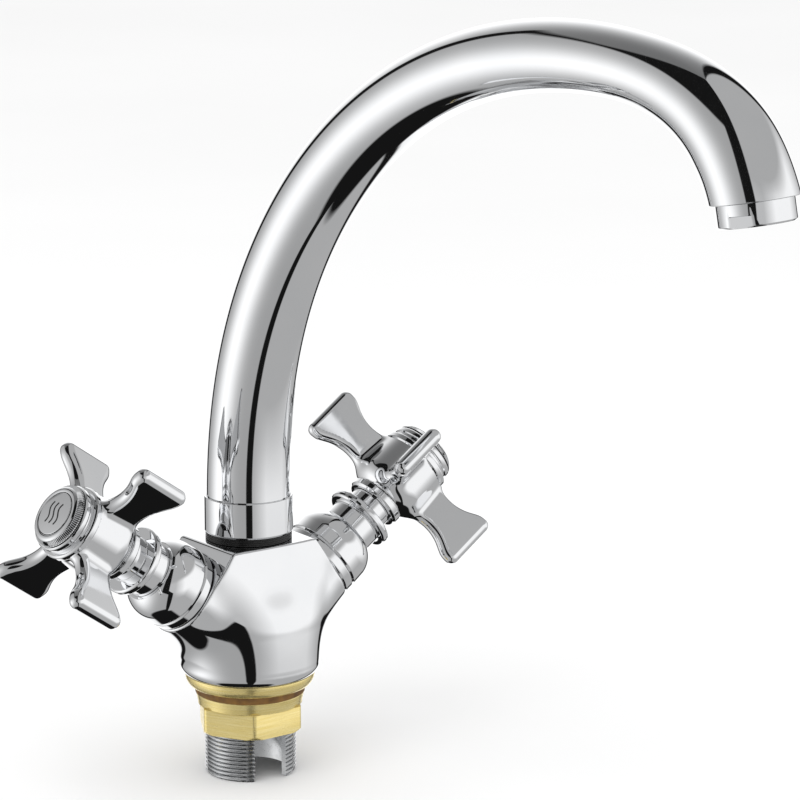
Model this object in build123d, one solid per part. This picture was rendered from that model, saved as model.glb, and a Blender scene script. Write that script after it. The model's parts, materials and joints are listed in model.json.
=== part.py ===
from build123d import *
import os
from math import cos, sin, radians, sqrt, copysign

os.makedirs("parts", exist_ok=True)

# Two-handle kitchen mixer tap. Millimetres, +Z up, origin at the centre of the deck seat.
# The hot valve is on the -X side, the cold valve on the +X side, and the front is -Y.

# Clearances, all radial unless a comment says otherwise
RUN_GAP = 0.05  # turning and sliding fits
THREAD_GAP = 0.05  # screwed or pressed joints inside one rigid group
SIDE_GAP = 0.3  # free space between parts that move past each other
FACE_GAP = 0.05  # axial space between flat faces that slide on each other
OVER = 1.0  # how far a cutting or joining solid reaches past a face

# Shank, washer and nut below the deck
SHANK_R = 16.5  # M33 x 1.5
SHANK_WALL = 3.2
SHANK_DROP = 33.0
SHANK_GRIP = 10.5  # length screwed into the body
SLOT_WIDTH = 12.8
SLOT_TOP = -10.0
SLOT_TURN = 6.5  # from the front towards the hot side, degrees
RING_H = 4.4
RING_BULGE = 0.6
SEAT_WIDTH = 1.6
RECESS_D = 1.0
WASHER_WIDTH = 3.25
WASHER_DROP = 2.9
NUT_FLANGE_R = 19.6
NUT_FLANGE_TAPER = 0.9
NUT_FLANGE_H = 4.3
NUT_H = 13.6
NUT_FLATS = 35.0
NUT_CHAMFER = 1.4

# Body casting
BODY_R = 25.4
FOOT_R = 23.4
FOOT_H = 3.6
TOP_Z = 54.0
SHOULDER_Z = 22.0
TOP_HALF_X = 17.5
TOP_HALF_Y = 15.2
# Sections of the shoulder: share of the rise, share of the narrowing, squareness
SHOULDER_SECTIONS = ((0.2, 0.05, 2.05), (0.4, 0.34, 2.3), (0.6, 0.68, 2.7), (0.8, 0.9, 3.2), (1.0, 1.0, 4.0))
SECTION_POINTS = 24
VALVE_TILT = 35.0  # of both valve axes above the horizontal, degrees
VALVE_Z = 18.5  # where the valve axes meet
ARM_FACE = 35.0  # along the valve axis, from the vertical axis
ARM_R = 15.5
ARM_TOP_HALF = 14.6
ARM_SPARE = 2.0  # height of the arms above the top face before it is cut
ARM_ROOT = 10.0
ARM_ROOT_R = 18.4
POCKET_R = 10.4
POCKET_FLOOR = 13.5
PORT_R = 3.6
PORT_START = 8.0
INLET_R = 4.5  # tapping size of M10 x 1
INLET_X = 7.0
INLET_DEPTH = 10.0
CHANNEL_R = 2.5
CHANNEL_X = 7.2

# Spout socket, collar nut and the spout's tail
TAIL_R = 11.0
TAIL_WALL = 3.5
SOCKET_FLOOR = 43.5
TAIL_END_GAP = 0.5
NECK_R = 14.0
NECK_H = 10.0
SEAL_H = 2.7
SEAL_R = 15.5
COLLAR_STEP = 0.9  # the collar stands out from the tube by this much
COLLAR_TOP = 69.9
COLLAR_LID = 2.6
COLLAR_CHAMFER = 0.7
SLIP_RING_H = 2.0
SLIP_RING_R = 13.2
SLIP_RING_SPLIT = 3.0
GROOVE_DEPTH = 1.2
O_RING_R = 0.95
O_RING_HEIGHTS = (48.5, 58.0)

# Spout tube. The centreline runs through (reach, height) points, built towards +X and then turned.
SPOUT_SWIVEL = 10.0  # of the rest pose, from the front towards the cold side, degrees
SPOUT_LINE = (
    (0.1, 81.9), (2.9, 106.3), (11.9, 139.2), (27.1, 169.5), (47.8, 196.0), (73.9, 217.7), (104.8, 233.0),
    (138.8, 240.9), (170.0, 240.4), (190.0, 237.0), (203.0, 231.6), (213.0, 223.8), (220.0, 214.2),
    (224.4, 203.6),
)
SPOUT_BASE_R = 15.1
SPOUT_WAIST_R = 11.6
SPOUT_WAIST_AT = 0.8  # share of the centreline's length
SPOUT_SECTIONS = 20
SPOUT_WALL = 1.4
OUTLET_R = 14.8
OUTLET_TILT = 11.0  # of the outlet axis from straight down, degrees
PLUG_H = 10.0

# Aerator, measured along the outlet axis
AERATOR_R = 12.8
AERATOR_DROP = 8.0
AERATOR_THREAD_R = 12.0
AERATOR_THREAD_H = 6.5
AERATOR_WALL = 1.6
AERATOR_LIP = 1.2
AERATOR_FLATS = 24.0
AERATOR_FLATS_H = 3.8
AERATOR_TURN = -13.0  # of the flats from sideways, as screwed in, degrees
AERATOR_CHAMFER = 0.6
AERATOR_WASHER_H = 1.4
AERATOR_HOLE_R = 0.75
AERATOR_HOLE_PITCH = 2.6
AERATOR_HOLE_ROWS = 3  # rings of six, twelve and eighteen holes round the middle one

# Headwork of each valve, measured along the valve axis
SEAT_RUBBER_H = 1.0
SEAT_RUBBER_R = 9.6
DISC_R = 7.9
DISC_H = 2.4
DISC_BORE_R = 6.0
DISC_LAND = 1.6
HALF_MOON_MARGIN = 10.0  # degrees
CAGE_R = 9.2
CAGE_TOP = 23.5
CAGE_WINDOW_W = 6.0
DRIVER_H = 3.6
DRIVER_R = 7.4
TONGUE_W = 3.0
TONGUE_H = 1.0
SPINDLE_R = 4.2
SPINDLE_TOP = 76.8
SPINDLE_SEAL_AT = 31.0
SPINDLE_SEAL_R = 0.7
HOUSING_FLANGE_H = 1.4
HOUSING_FLANGE_LAND = 0.4
HOUSING_HEX = 21.0
HOUSING_HEX_H = 4.4
SLEEVE_R = 8.0
SLEEVE_TOP = 58.0
CLIP_R = 6.2
CLIP_H = 0.8
HOUSING_SEAL_R = 0.8
BAND_R = 15.3
BAND_H = 4.2
BAND_ROUND = 0.8
BELL_H = 13.0
BELL_R = 15.4
BELL_BARREL_R = 15.2
BELL_BARREL_H = 5.0
BELL_MOUTH_R = 11.2
BELL_WALL = 1.7
BELL_LIP = 1.0
NECK_SLEEVE_R = 10.0
NECK_SLEEVE_H = 6.6
DISC_FLANGE_R = 13.0
DISC_FLANGE_H = 3.1
DISC_FLANGE_ROUND = 0.8
NECK_SPIGOT_R = 8.3
NECK_SPIGOT_H = 5.6

# Handles, measured along the valve axis
HUB_START = 67.2
REAR_RING_R = 10.8
REAR_RING_H = 3.0
HUB_GROOVE = 0.8
BOWL_TOP_AT = 77.6
BOWL_R = 14.0
BOWL_END_R = 13.2
FRONT_NECK_R = 12.0
FRONT_RING_AT = 89.4
FRONT_RING_R = 13.8
FRONT_RING_H = 3.0
HUB_END = 93.7
HUB_BORE_R = 9.1
WEB_AT = 77.0
WEB_H = 1.6
SCREW_R = 2.5
SCREW_LENGTH = 10.0
SCREW_HEAD_R = 4.4
SCREW_HEAD_H = 3.0
SCREW_HEX = 4.0
FIN_TIP_R = 36.9
FIN_ROOT_R = 11.5
FIN_ROOT_HALF = 9.3
FIN_WAIST_AT = 20.5
FIN_WAIST_HALF = 7.0
FIN_PAD = 6.5  # from the flare to the tip
FIN_TIP_HALF = 11.1
FIN_CENTRE = 82.0
FIN_CORNER = 2.8
FIN_THICK = 6.0
FIN_EDGE = 2.3
HOT_FIN_TURN = 45.0  # of the rest pose, degrees
COLD_FIN_TURN = 53.0
CAP_R = 12.5
CAP_GROOVE_R = 11.7
CAP_KNURL_R = 12.1
CAP_RIM_R = 10.5
CAP_GROOVE_AT = 96.3
CAP_KNURL_AT = 96.8
CAP_RIM_AT = 98.6
CAP_TOP = 99.3
CAP_SPIGOT_H = 7.0
CAP_WALL = 1.6
INDEX_R = 8.0
INDEX_DEPTH = 1.2
INDEX_DOME = 0.5

# Derived values shared by mating parts
shank_bore_r = SHANK_R - SHANK_WALL
shank_top = RING_H + SHANK_GRIP
washer_r = SHANK_R + RUN_GAP + WASHER_WIDTH
recess_r = washer_r + SIDE_GAP
seat_r = recess_r + SEAT_WIDTH
collar_r = SPOUT_BASE_R + COLLAR_STEP
collar_foot = TOP_Z + SEAL_H
collar_ceiling = COLLAR_TOP - COLLAR_LID
spout_base = COLLAR_TOP + FACE_GAP
socket_r = TAIL_R + RUN_GAP
neck_top = TOP_Z + NECK_H
slip_ring_top = collar_ceiling - FACE_GAP
slip_groove_r = TAIL_R - GROOVE_DEPTH
housing_foot = POCKET_FLOOR + SEAT_RUBBER_H
film = housing_foot + DISC_H
disc_back = film + FACE_GAP + DISC_H
housing_r = POCKET_R - THREAD_GAP
cage_bore_r = DISC_R + SIDE_GAP
spindle_bore_r = SPINDLE_R + RUN_GAP
mouth_r = POCKET_R + 2.0 * HOUSING_SEAL_R
hex_top = ARM_FACE + HOUSING_FLANGE_H + HOUSING_HEX_H
band_bore_r = mouth_r + HOUSING_FLANGE_LAND + SIDE_GAP
bell_foot = ARM_FACE + BAND_H
bell_lip = bell_foot + BELL_LIP
bell_shoulder = bell_foot + BELL_BARREL_H
bell_top = bell_foot + BELL_H
bell_roof = bell_top - BELL_WALL
flange_foot = bell_top + NECK_SLEEVE_H
flange_top = flange_foot + DISC_FLANGE_H
spigot_top = flange_top + NECK_SPIGOT_H
sleeve_bore_r = SLEEVE_R + THREAD_GAP
clip_foot = SLEEVE_TOP + SIDE_GAP
clip_room = clip_foot + CLIP_H + SIDE_GAP
seal_low = SPINDLE_SEAL_AT - SPINDLE_SEAL_R
seal_high = SPINDLE_SEAL_AT + SPINDLE_SEAL_R
hub_web = spigot_top + SIDE_GAP
index_foot = CAP_TOP - INDEX_DEPTH
web_top = WEB_AT + WEB_H
spout_turn = SPOUT_SWIVEL - 90.0
overall = SPOUT_LINE[-1][0]  # longer than any part that is cut


def rod(radius, low, high):
    return Pos(0, 0, low) * Cylinder(radius, high - low, align=(Align.CENTER, Align.CENTER, Align.MIN))


def pipe(outer, inner, low, high):
    return rod(outer, low, high) - rod(inner, low, high)


def hexagon(flats, low, high):
    return Pos(0, 0, low) * extrude(RegularPolygon(flats / 2, 6, major_radius=False), high - low)


def turned(*outline):
    edges = [edge for line in outline for edge in line.edges()]
    return revolve(Plane.XZ * make_face(edges), Axis.Z)


def save(shape, name):
    export_step(shape, f"parts/{name}.step")


def valve_plane(side):
    tilt = radians(VALVE_TILT)
    return Plane(origin=(0, 0, VALVE_Z), x_dir=(0, side, 0), z_dir=(side * cos(tilt), 0, sin(tilt)))


def placed(side, shape):
    return valve_plane(side).location * shape


# Body casting
def rounded_section(half_x, half_y, power, height):
    points = []
    for step in range(SECTION_POINTS):
        turn = radians(360.0 / SECTION_POINTS * step)
        x = copysign(abs(cos(turn)) ** (2.0 / power), cos(turn)) * half_x
        y = copysign(abs(sin(turn)) ** (2.0 / power), sin(turn)) * half_y
        points.append((x, y))
    return Pos(0, 0, height) * make_face(Spline(*points, periodic=True))


def shoulder():
    rise = TOP_Z - SHOULDER_Z
    slope_x = BODY_R - TOP_HALF_X
    slope_y = BODY_R - TOP_HALF_Y
    sections = [Pos(0, 0, SHOULDER_Z) * Circle(BODY_R)]
    for share, fall, power in SHOULDER_SECTIONS:
        half_x = BODY_R - slope_x * fall
        half_y = BODY_R - slope_y * fall
        sections.append(rounded_section(half_x, half_y, power, SHOULDER_Z + rise * share))
    return loft(sections)


def arm_section(radius, along):
    rise = TOP_Z + ARM_SPARE - VALVE_Z - along * sin(radians(VALVE_TILT))
    top = rise / cos(radians(VALVE_TILT))
    outline = [
        ThreePointArc((-radius, 0), (0, -radius), (radius, 0)),
        Line((radius, 0), (ARM_TOP_HALF, top)),
        Line((ARM_TOP_HALF, top), (-ARM_TOP_HALF, top)),
        Line((-ARM_TOP_HALF, top), (-radius, 0)),
    ]
    return Pos(0, 0, along) * make_face(outline)


def body_blank():
    foot = Polyline(
        (0, RING_H), (FOOT_R, RING_H), (BODY_R, RING_H + FOOT_H), (BODY_R, SHOULDER_Z), (0, SHOULDER_Z),
        close=True,
    )
    blank = turned(foot) + shoulder()
    for side in (-1, 1):
        sections = [arm_section(ARM_ROOT_R, ARM_ROOT), arm_section(ARM_R, ARM_FACE)]
        blank += placed(side, loft(sections, ruled=True))
    above = Box(overall, overall, TOP_Z, align=(Align.CENTER, Align.CENTER, Align.MIN))
    return blank - Pos(0, 0, TOP_Z) * above


def valve_pocket():
    pocket = rod(POCKET_R, POCKET_FLOOR, ARM_FACE + OVER)
    mouth = rod(mouth_r, ARM_FACE - 2 * HOUSING_SEAL_R, ARM_FACE + OVER)
    return pocket + mouth + rod(PORT_R, PORT_START, POCKET_FLOOR + OVER)


def mixer_body():
    shape = body_blank() + rod(NECK_R, TOP_Z - OVER, neck_top)
    shape -= rod(SHANK_R + THREAD_GAP, RING_H - OVER, shank_top)
    shape -= rod(socket_r, SOCKET_FLOOR, neck_top + OVER)
    for side in (-1, 1):
        shape -= placed(side, valve_pocket())
        shape -= Pos(side * INLET_X, 0, 0) * rod(INLET_R, shank_top - OVER, shank_top + INLET_DEPTH)
        channel = rod(CHANNEL_R, SOCKET_FLOOR - CHANNEL_R - INLET_X, SOCKET_FLOOR + OVER)
        shape -= Pos(side * CHANNEL_X, 0, 0) * channel
    return shape


# Parts below the deck
def base_ring():
    inner = SHANK_R + THREAD_GAP
    middle = ((seat_r + FOOT_R) / 2 + RING_BULGE, RING_H / 2)
    flat = Polyline(
        (FOOT_R, RING_H), (inner, RING_H), (inner, RECESS_D), (recess_r, RECESS_D), (recess_r, 0), (seat_r, 0)
    )
    return turned(flat, ThreePointArc((seat_r, 0), middle, (FOOT_R, RING_H)))


def threaded_shank():
    tube = pipe(SHANK_R, shank_bore_r, -SHANK_DROP, shank_top - THREAD_GAP)
    slot_height = SHANK_DROP + SLOT_TOP
    slot = Box(SLOT_WIDTH, 2 * SHANK_R, slot_height, align=(Align.CENTER, Align.MAX, Align.MAX))
    return tube - Rot(0, 0, -SLOT_TURN) * Pos(0, 0, SLOT_TOP) * slot


def deck_washer():
    return pipe(washer_r, SHANK_R + RUN_GAP, -WASHER_DROP, RECESS_D)


def mounting_nut():
    flange_foot = -WASHER_DROP - NUT_FLANGE_H
    nut_foot = -WASHER_DROP - NUT_H
    foot_r = NUT_FLANGE_R - NUT_FLANGE_TAPER
    corner_r = NUT_FLATS / sqrt(3)
    flange = turned(
        Polyline(
            (0, -WASHER_DROP), (NUT_FLANGE_R, -WASHER_DROP), (foot_r, flange_foot), (0, flange_foot), close=True
        )
    )
    chamfered = turned(
        Polyline(
            (0, flange_foot + OVER), (corner_r + OVER, flange_foot + OVER),
            (corner_r + OVER, nut_foot + NUT_CHAMFER), (corner_r - NUT_CHAMFER, nut_foot), (0, nut_foot),
            close=True,
        )
    )
    hexed = hexagon(NUT_FLATS, nut_foot, flange_foot) & chamfered
    return flange + hexed - rod(SHANK_R + RUN_GAP, nut_foot - OVER, 1)


# Collar and spout
def collar_nut():
    outer = Polyline(
        (0, collar_foot), (collar_r - COLLAR_CHAMFER, collar_foot), (collar_r, collar_foot + COLLAR_CHAMFER),
        (collar_r, COLLAR_TOP), (0, COLLAR_TOP), close=True,
    )
    shape = turned(outer) - rod(NECK_R + THREAD_GAP, collar_foot - OVER, collar_ceiling)
    return shape - rod(TAIL_R + SIDE_GAP, collar_ceiling - OVER, COLLAR_TOP + OVER)


def collar_seals():
    bead_r = (SEAL_H - FACE_GAP) / 4
    inner = NECK_R + THREAD_GAP
    rings = Part()
    for level in (TOP_Z + bead_r, collar_foot - bead_r):
        rim = SEAL_R - bead_r
        foot = (rim, level - bead_r)
        head = (rim, level + bead_r)
        flat = Polyline(head, (inner, level + bead_r), (inner, level - bead_r), foot)
        rings += turned(flat, ThreePointArc(foot, (SEAL_R, level), head))
    return rings


def spout_tail():
    foot = SOCKET_FLOOR + TAIL_END_GAP
    bore = TAIL_R - TAIL_WALL
    plug_r = spout_girth(PLUG_H / SPOUT_LINE[-1][0]) - SPOUT_WALL - 3 * THREAD_GAP
    shape = rod(TAIL_R, foot, spout_base) + rod(plug_r, spout_base, spout_base + PLUG_H)
    shape -= rod(bore, foot - OVER, spout_base + PLUG_H + OVER)
    for level in O_RING_HEIGHTS:
        shape -= pipe(TAIL_R + OVER, TAIL_R - 2 * O_RING_R, level - O_RING_R, level + O_RING_R)
    return shape - pipe(TAIL_R + OVER, slip_groove_r, slip_ring_top - SLIP_RING_H, slip_ring_top)


def spout_o_rings():
    rings = Part()
    for level in O_RING_HEIGHTS:
        rings += Pos(0, 0, level) * Torus(TAIL_R - O_RING_R, O_RING_R)
    return rings


def slip_ring():
    ring = pipe(SLIP_RING_R, slip_groove_r, slip_ring_top - SLIP_RING_H, slip_ring_top)
    split = Box(SLIP_RING_SPLIT, 2 * SLIP_RING_R, overall, align=(Align.CENTER, Align.MIN, Align.CENTER))
    return ring - split


def spout_girth(share):
    if share < SPOUT_WAIST_AT:
        return SPOUT_BASE_R - (SPOUT_BASE_R - SPOUT_WAIST_R) * share / SPOUT_WAIST_AT
    flare = (share - SPOUT_WAIST_AT) / (1 - SPOUT_WAIST_AT)
    return SPOUT_WAIST_R + (OUTLET_R - SPOUT_WAIST_R) * flare**2 * (3 - 2 * flare)


spout_line = Spline((0, 0, spout_base), *[(reach, 0, height) for reach, height in SPOUT_LINE])
outlet_axis = (sin(radians(OUTLET_TILT)), 0, -cos(radians(OUTLET_TILT)))
outlet = Plane(origin=spout_line @ 1, x_dir=(0, 1, 0), z_dir=outlet_axis)


def spout_tube():
    base = Plane(origin=(0, 0, spout_base), x_dir=(0, 1, 0), z_dir=(0, 0, 1))
    outer = [base * Circle(SPOUT_BASE_R)]
    inner = [base * Circle(SPOUT_BASE_R - SPOUT_WALL)]
    for step in range(1, SPOUT_SECTIONS):
        share = step / SPOUT_SECTIONS
        section = Plane(origin=spout_line @ share, x_dir=(0, 1, 0), z_dir=spout_line % share)
        outer.append(section * Circle(spout_girth(share)))
        inner.append(section * Circle(spout_girth(share) - SPOUT_WALL))
    outer.append(outlet * Circle(OUTLET_R))
    thread_top = -AERATOR_THREAD_H - AERATOR_WASHER_H
    inner[-1] = outlet * Pos(0, 0, thread_top) * Circle(AERATOR_THREAD_R - 2 * AERATOR_WALL)
    shape = loft(outer) - loft(inner)
    shape -= outlet * rod(AERATOR_THREAD_R + THREAD_GAP, thread_top, 1)
    return Rot(0, 0, spout_turn) * shape


def on_outlet(shape):
    return Rot(0, 0, spout_turn) * (outlet * shape)


def aerator_housing():
    shape = rod(AERATOR_THREAD_R, -AERATOR_THREAD_H, 1) + chamfer(
        rod(AERATOR_R, 0, AERATOR_DROP).edges(), AERATOR_CHAMFER
    )
    flats_z = AERATOR_DROP - AERATOR_FLATS_H
    cut = Box(AERATOR_R, 4 * AERATOR_R, AERATOR_DROP, align=(Align.MIN, Align.CENTER, Align.MIN))
    for half_turn in (0, 180):
        shape -= Rot(0, 0, AERATOR_TURN + half_turn) * Pos(AERATOR_FLATS / 2, 0, flats_z) * cut
    bore = AERATOR_THREAD_R - AERATOR_WALL
    shape -= rod(bore, -AERATOR_THREAD_H - OVER, AERATOR_DROP - AERATOR_LIP)
    shape -= rod(bore - AERATOR_LIP, 0, AERATOR_DROP + OVER)
    return on_outlet(shape)


def aerator_insert():
    shape = rod(AERATOR_THREAD_R - AERATOR_WALL - THREAD_GAP, -AERATOR_THREAD_H, AERATOR_DROP - AERATOR_LIP)
    hole = rod(AERATOR_HOLE_R, -AERATOR_THREAD_H - OVER, AERATOR_DROP)
    shape -= hole
    for row in range(1, AERATOR_HOLE_ROWS + 1):
        for place in PolarLocations(row * AERATOR_HOLE_PITCH, 6 * row):
            shape -= place * hole
    return on_outlet(shape)


def aerator_washer():
    bore = AERATOR_THREAD_R - 2 * AERATOR_WALL
    return on_outlet(pipe(AERATOR_THREAD_R, bore, -AERATOR_THREAD_H - AERATOR_WASHER_H, -AERATOR_THREAD_H))


# Headwork, built along +Z and placed on each valve axis
def half_moon(low, high, turn):
    shape = pipe(DISC_BORE_R, DISC_LAND, low, high)
    half = Box(4 * DISC_R, 4 * DISC_R, overall, align=(Align.CENTER, Align.MAX, Align.CENTER))
    for side in (-1, 1):
        shape -= Rot(0, 0, turn + side * HALF_MOON_MARGIN) * half
    return shape


def valve_housing():
    shape = pipe(CAGE_R, cage_bore_r, housing_foot, CAGE_TOP) + rod(housing_r, CAGE_TOP, ARM_FACE)
    shape -= pipe(mouth_r + OVER, housing_r, ARM_FACE - OVER, ARM_FACE)
    shape += rod(mouth_r + HOUSING_FLANGE_LAND, ARM_FACE, ARM_FACE + HOUSING_FLANGE_H)
    shape += hexagon(HOUSING_HEX, ARM_FACE + HOUSING_FLANGE_H, hex_top) + rod(SLEEVE_R, hex_top, SLEEVE_TOP)
    window_h = CAGE_TOP - disc_back - 1
    window = Box(CAGE_WINDOW_W, 4 * CAGE_R, window_h, align=(Align.CENTER, Align.CENTER, Align.MIN))
    for turn in (0, 90):
        shape -= Rot(0, 0, turn) * Pos(0, 0, disc_back) * window
    return shape - rod(spindle_bore_r, CAGE_TOP - OVER, SLEEVE_TOP + OVER)


def housing_seal():
    return Pos(0, 0, ARM_FACE - HOUSING_SEAL_R) * Torus(mouth_r - HOUSING_SEAL_R, HOUSING_SEAL_R)


def seat_rubber():
    return pipe(SEAT_RUBBER_R, DISC_BORE_R, POCKET_FLOOR, housing_foot)


def fixed_disc():
    return rod(cage_bore_r, housing_foot, film) - half_moon(housing_foot - OVER, film + OVER, 0.0)


def moving_disc():
    shape = rod(DISC_R, film + FACE_GAP, disc_back) - half_moon(film, disc_back + OVER, 180.0)
    return shape - Pos(0, 0, disc_back) * Box(TONGUE_W, 4 * DISC_R, 2 * TONGUE_H)


def spindle():
    tongue_w = TONGUE_W - 2 * THREAD_GAP
    tongue = Box(tongue_w, 2 * DRIVER_R, TONGUE_H + DRIVER_H, align=(Align.CENTER, Align.CENTER, Align.MIN))
    driver = rod(DRIVER_R, disc_back, disc_back + DRIVER_H)
    shape = driver + rod(SPINDLE_R, disc_back, SPINDLE_TOP)
    shape += Pos(0, 0, disc_back - TONGUE_H + THREAD_GAP) * tongue & rod(DRIVER_R, 0, SPINDLE_TOP)
    shape -= pipe(SPINDLE_R + OVER, SPINDLE_R - 2 * SPINDLE_SEAL_R, seal_low, seal_high)
    shape -= pipe(SPINDLE_R + OVER, SPINDLE_R - GROOVE_DEPTH, clip_foot, clip_foot + CLIP_H)
    return shape - rod(SCREW_R, web_top - SCREW_LENGTH, SPINDLE_TOP + OVER)


def spindle_seal():
    return Pos(0, 0, SPINDLE_SEAL_AT) * Torus(SPINDLE_R - SPINDLE_SEAL_R, SPINDLE_SEAL_R)


def spindle_clip():
    ring = pipe(CLIP_R, SPINDLE_R - GROOVE_DEPTH, clip_foot, clip_foot + CLIP_H)
    return ring - Box(SPINDLE_R, 2 * CLIP_R, overall, align=(Align.CENTER, Align.MAX, Align.CENTER))


def band_ring():
    return turned(
        Polyline(
            (BAND_R - BAND_ROUND, ARM_FACE), (band_bore_r, ARM_FACE), (band_bore_r, bell_foot),
            (BAND_R, bell_foot),
            (BAND_R, ARM_FACE + BAND_ROUND), close=True,
        )
    )


def bell():
    inner_r = BELL_R - BELL_WALL
    barrel_r = BELL_BARREL_R - BELL_WALL
    mouth = (BELL_MOUTH_R - BELL_WALL, bell_roof)
    skin = Polyline(
        (barrel_r, bell_shoulder), (inner_r, bell_foot), (BELL_R - BELL_LIP / 2, bell_foot), (BELL_R, bell_lip),
        (BELL_BARREL_R, bell_shoulder),
    )
    dome = TangentArc((BELL_BARREL_R, bell_shoulder), (BELL_MOUTH_R, bell_top), tangent=(0, 1))
    lid = Polyline((BELL_MOUTH_R, bell_top), (sleeve_bore_r, bell_top), (sleeve_bore_r, bell_roof), mouth)
    inner_dome = TangentArc((barrel_r, bell_shoulder), mouth, tangent=(0, 1))
    return turned(skin, dome, lid, inner_dome)


def neck_flange():
    rim = DISC_FLANGE_R - DISC_FLANGE_ROUND
    bore = SPINDLE_R + SIDE_GAP
    lower = Polyline(
        (rim, flange_foot), (NECK_SLEEVE_R, flange_foot), (NECK_SLEEVE_R, bell_top),
        (sleeve_bore_r, bell_top), (sleeve_bore_r, clip_room), (bore, clip_room), (bore, spigot_top),
        (NECK_SPIGOT_R, spigot_top), (NECK_SPIGOT_R, flange_top), (rim, flange_top),
    )
    edge = ThreePointArc((rim, flange_top), (DISC_FLANGE_R, (flange_foot + flange_top) / 2), (rim, flange_foot))
    return turned(lower, edge)


# Handles, built along +Z and placed on each valve axis
def hub():
    ring_end = HUB_START + REAR_RING_H
    groove_r = REAR_RING_R - HUB_GROOVE
    bowl_start = ring_end + HUB_GROOVE
    front_end = FRONT_RING_AT + FRONT_RING_H
    rear = Polyline(
        (0, HUB_START), (groove_r, HUB_START), (REAR_RING_R, bowl_start - REAR_RING_H),
        (REAR_RING_R, ring_end), (groove_r, ring_end), (groove_r, bowl_start),
    )
    bowl = TangentArc((BOWL_R, BOWL_TOP_AT), (groove_r, bowl_start), tangent=(0, -1))
    bevel = HUB_GROOVE / 2
    front = Polyline(
        (BOWL_R, BOWL_TOP_AT), (BOWL_END_R, FRONT_RING_AT), (FRONT_RING_R - bevel, FRONT_RING_AT),
        (FRONT_RING_R, FRONT_RING_AT + bevel), (FRONT_RING_R, front_end - bevel),
        (FRONT_RING_R - bevel, front_end), (FRONT_NECK_R, front_end), (FRONT_NECK_R, HUB_END), (0, HUB_END), (0, HUB_START),
    )
    return turned(rear, bowl, front)


def fin():
    outline = [
        Line((FIN_ROOT_R, FIN_CENTRE + FIN_ROOT_HALF), (FIN_ROOT_R, FIN_CENTRE - FIN_ROOT_HALF)),
        Line((FIN_TIP_R, FIN_CENTRE - FIN_TIP_HALF), (FIN_TIP_R, FIN_CENTRE + FIN_TIP_HALF)),
    ]
    for side in (-1, 1):
        flare = (FIN_TIP_R - FIN_PAD, FIN_CENTRE + side * FIN_TIP_HALF)
        root = (FIN_ROOT_R, FIN_CENTRE + side * FIN_ROOT_HALF)
        waist = (FIN_WAIST_AT, FIN_CENTRE + side * FIN_WAIST_HALF)
        outline.append(ThreePointArc(root, waist, flare))
        outline.append(Line(flare, (FIN_TIP_R, flare[1])))
    face = make_face(outline)
    face = fillet(face.vertices().sort_by(Axis.X)[-4:], FIN_CORNER)
    plate = extrude(Plane.XZ * face, FIN_THICK / 2, both=True)
    rim = [
        edge for edge in plate.edges()
        if edge.center().X > FIN_ROOT_R + THREAD_GAP and abs(edge.center().Y) > FIN_THICK / 4
    ]
    return fillet(rim, FIN_EDGE)


def cross_handle(turn):
    shape = hub()
    blade = fin()
    for quarter in range(4):
        shape += Rot(0, 0, turn + 90.0 * quarter) * blade
    shape -= rod(NECK_SPIGOT_R + SIDE_GAP, HUB_START - OVER, hub_web)
    shape -= rod(SPINDLE_R + THREAD_GAP, HUB_START, WEB_AT)
    shape -= rod(SCREW_R + THREAD_GAP, WEB_AT - OVER, web_top + OVER)
    return shape - rod(HUB_BORE_R, web_top, HUB_END + OVER)


def handle_screw():
    shape = rod(SCREW_R - THREAD_GAP, web_top - SCREW_LENGTH + THREAD_GAP, web_top)
    shape += rod(SCREW_HEAD_R, web_top, web_top + SCREW_HEAD_H)
    return shape - hexagon(SCREW_HEX, web_top + SCREW_HEAD_H / 3, web_top + SCREW_HEAD_H + OVER)


def cap_ring():
    spigot_r = HUB_BORE_R - THREAD_GAP
    inner = HUB_BORE_R - CAP_WALL
    index_seat_r = INDEX_R + THREAD_GAP
    return turned(
        Polyline(
            (inner, HUB_END - CAP_SPIGOT_H), (spigot_r, HUB_END - CAP_SPIGOT_H), (spigot_r, HUB_END),
            (CAP_R, HUB_END), (CAP_R, CAP_GROOVE_AT), (CAP_GROOVE_R, CAP_GROOVE_AT),
            (CAP_GROOVE_R, CAP_KNURL_AT), (CAP_KNURL_R, CAP_KNURL_AT), (CAP_RIM_R, CAP_RIM_AT),
            (index_seat_r + CAP_WALL / 2, CAP_TOP), (index_seat_r, CAP_TOP), (index_seat_r, index_foot),
            (inner, index_foot), close=True,
        )
    )


def index_disc():
    crown = CAP_TOP + INDEX_DOME
    dome_r = (INDEX_R**2 + INDEX_DOME**2) / (2 * INDEX_DOME)
    return rod(INDEX_R, index_foot, crown) & Pos(0, 0, crown - dome_r) * Sphere(dome_r)


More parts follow.
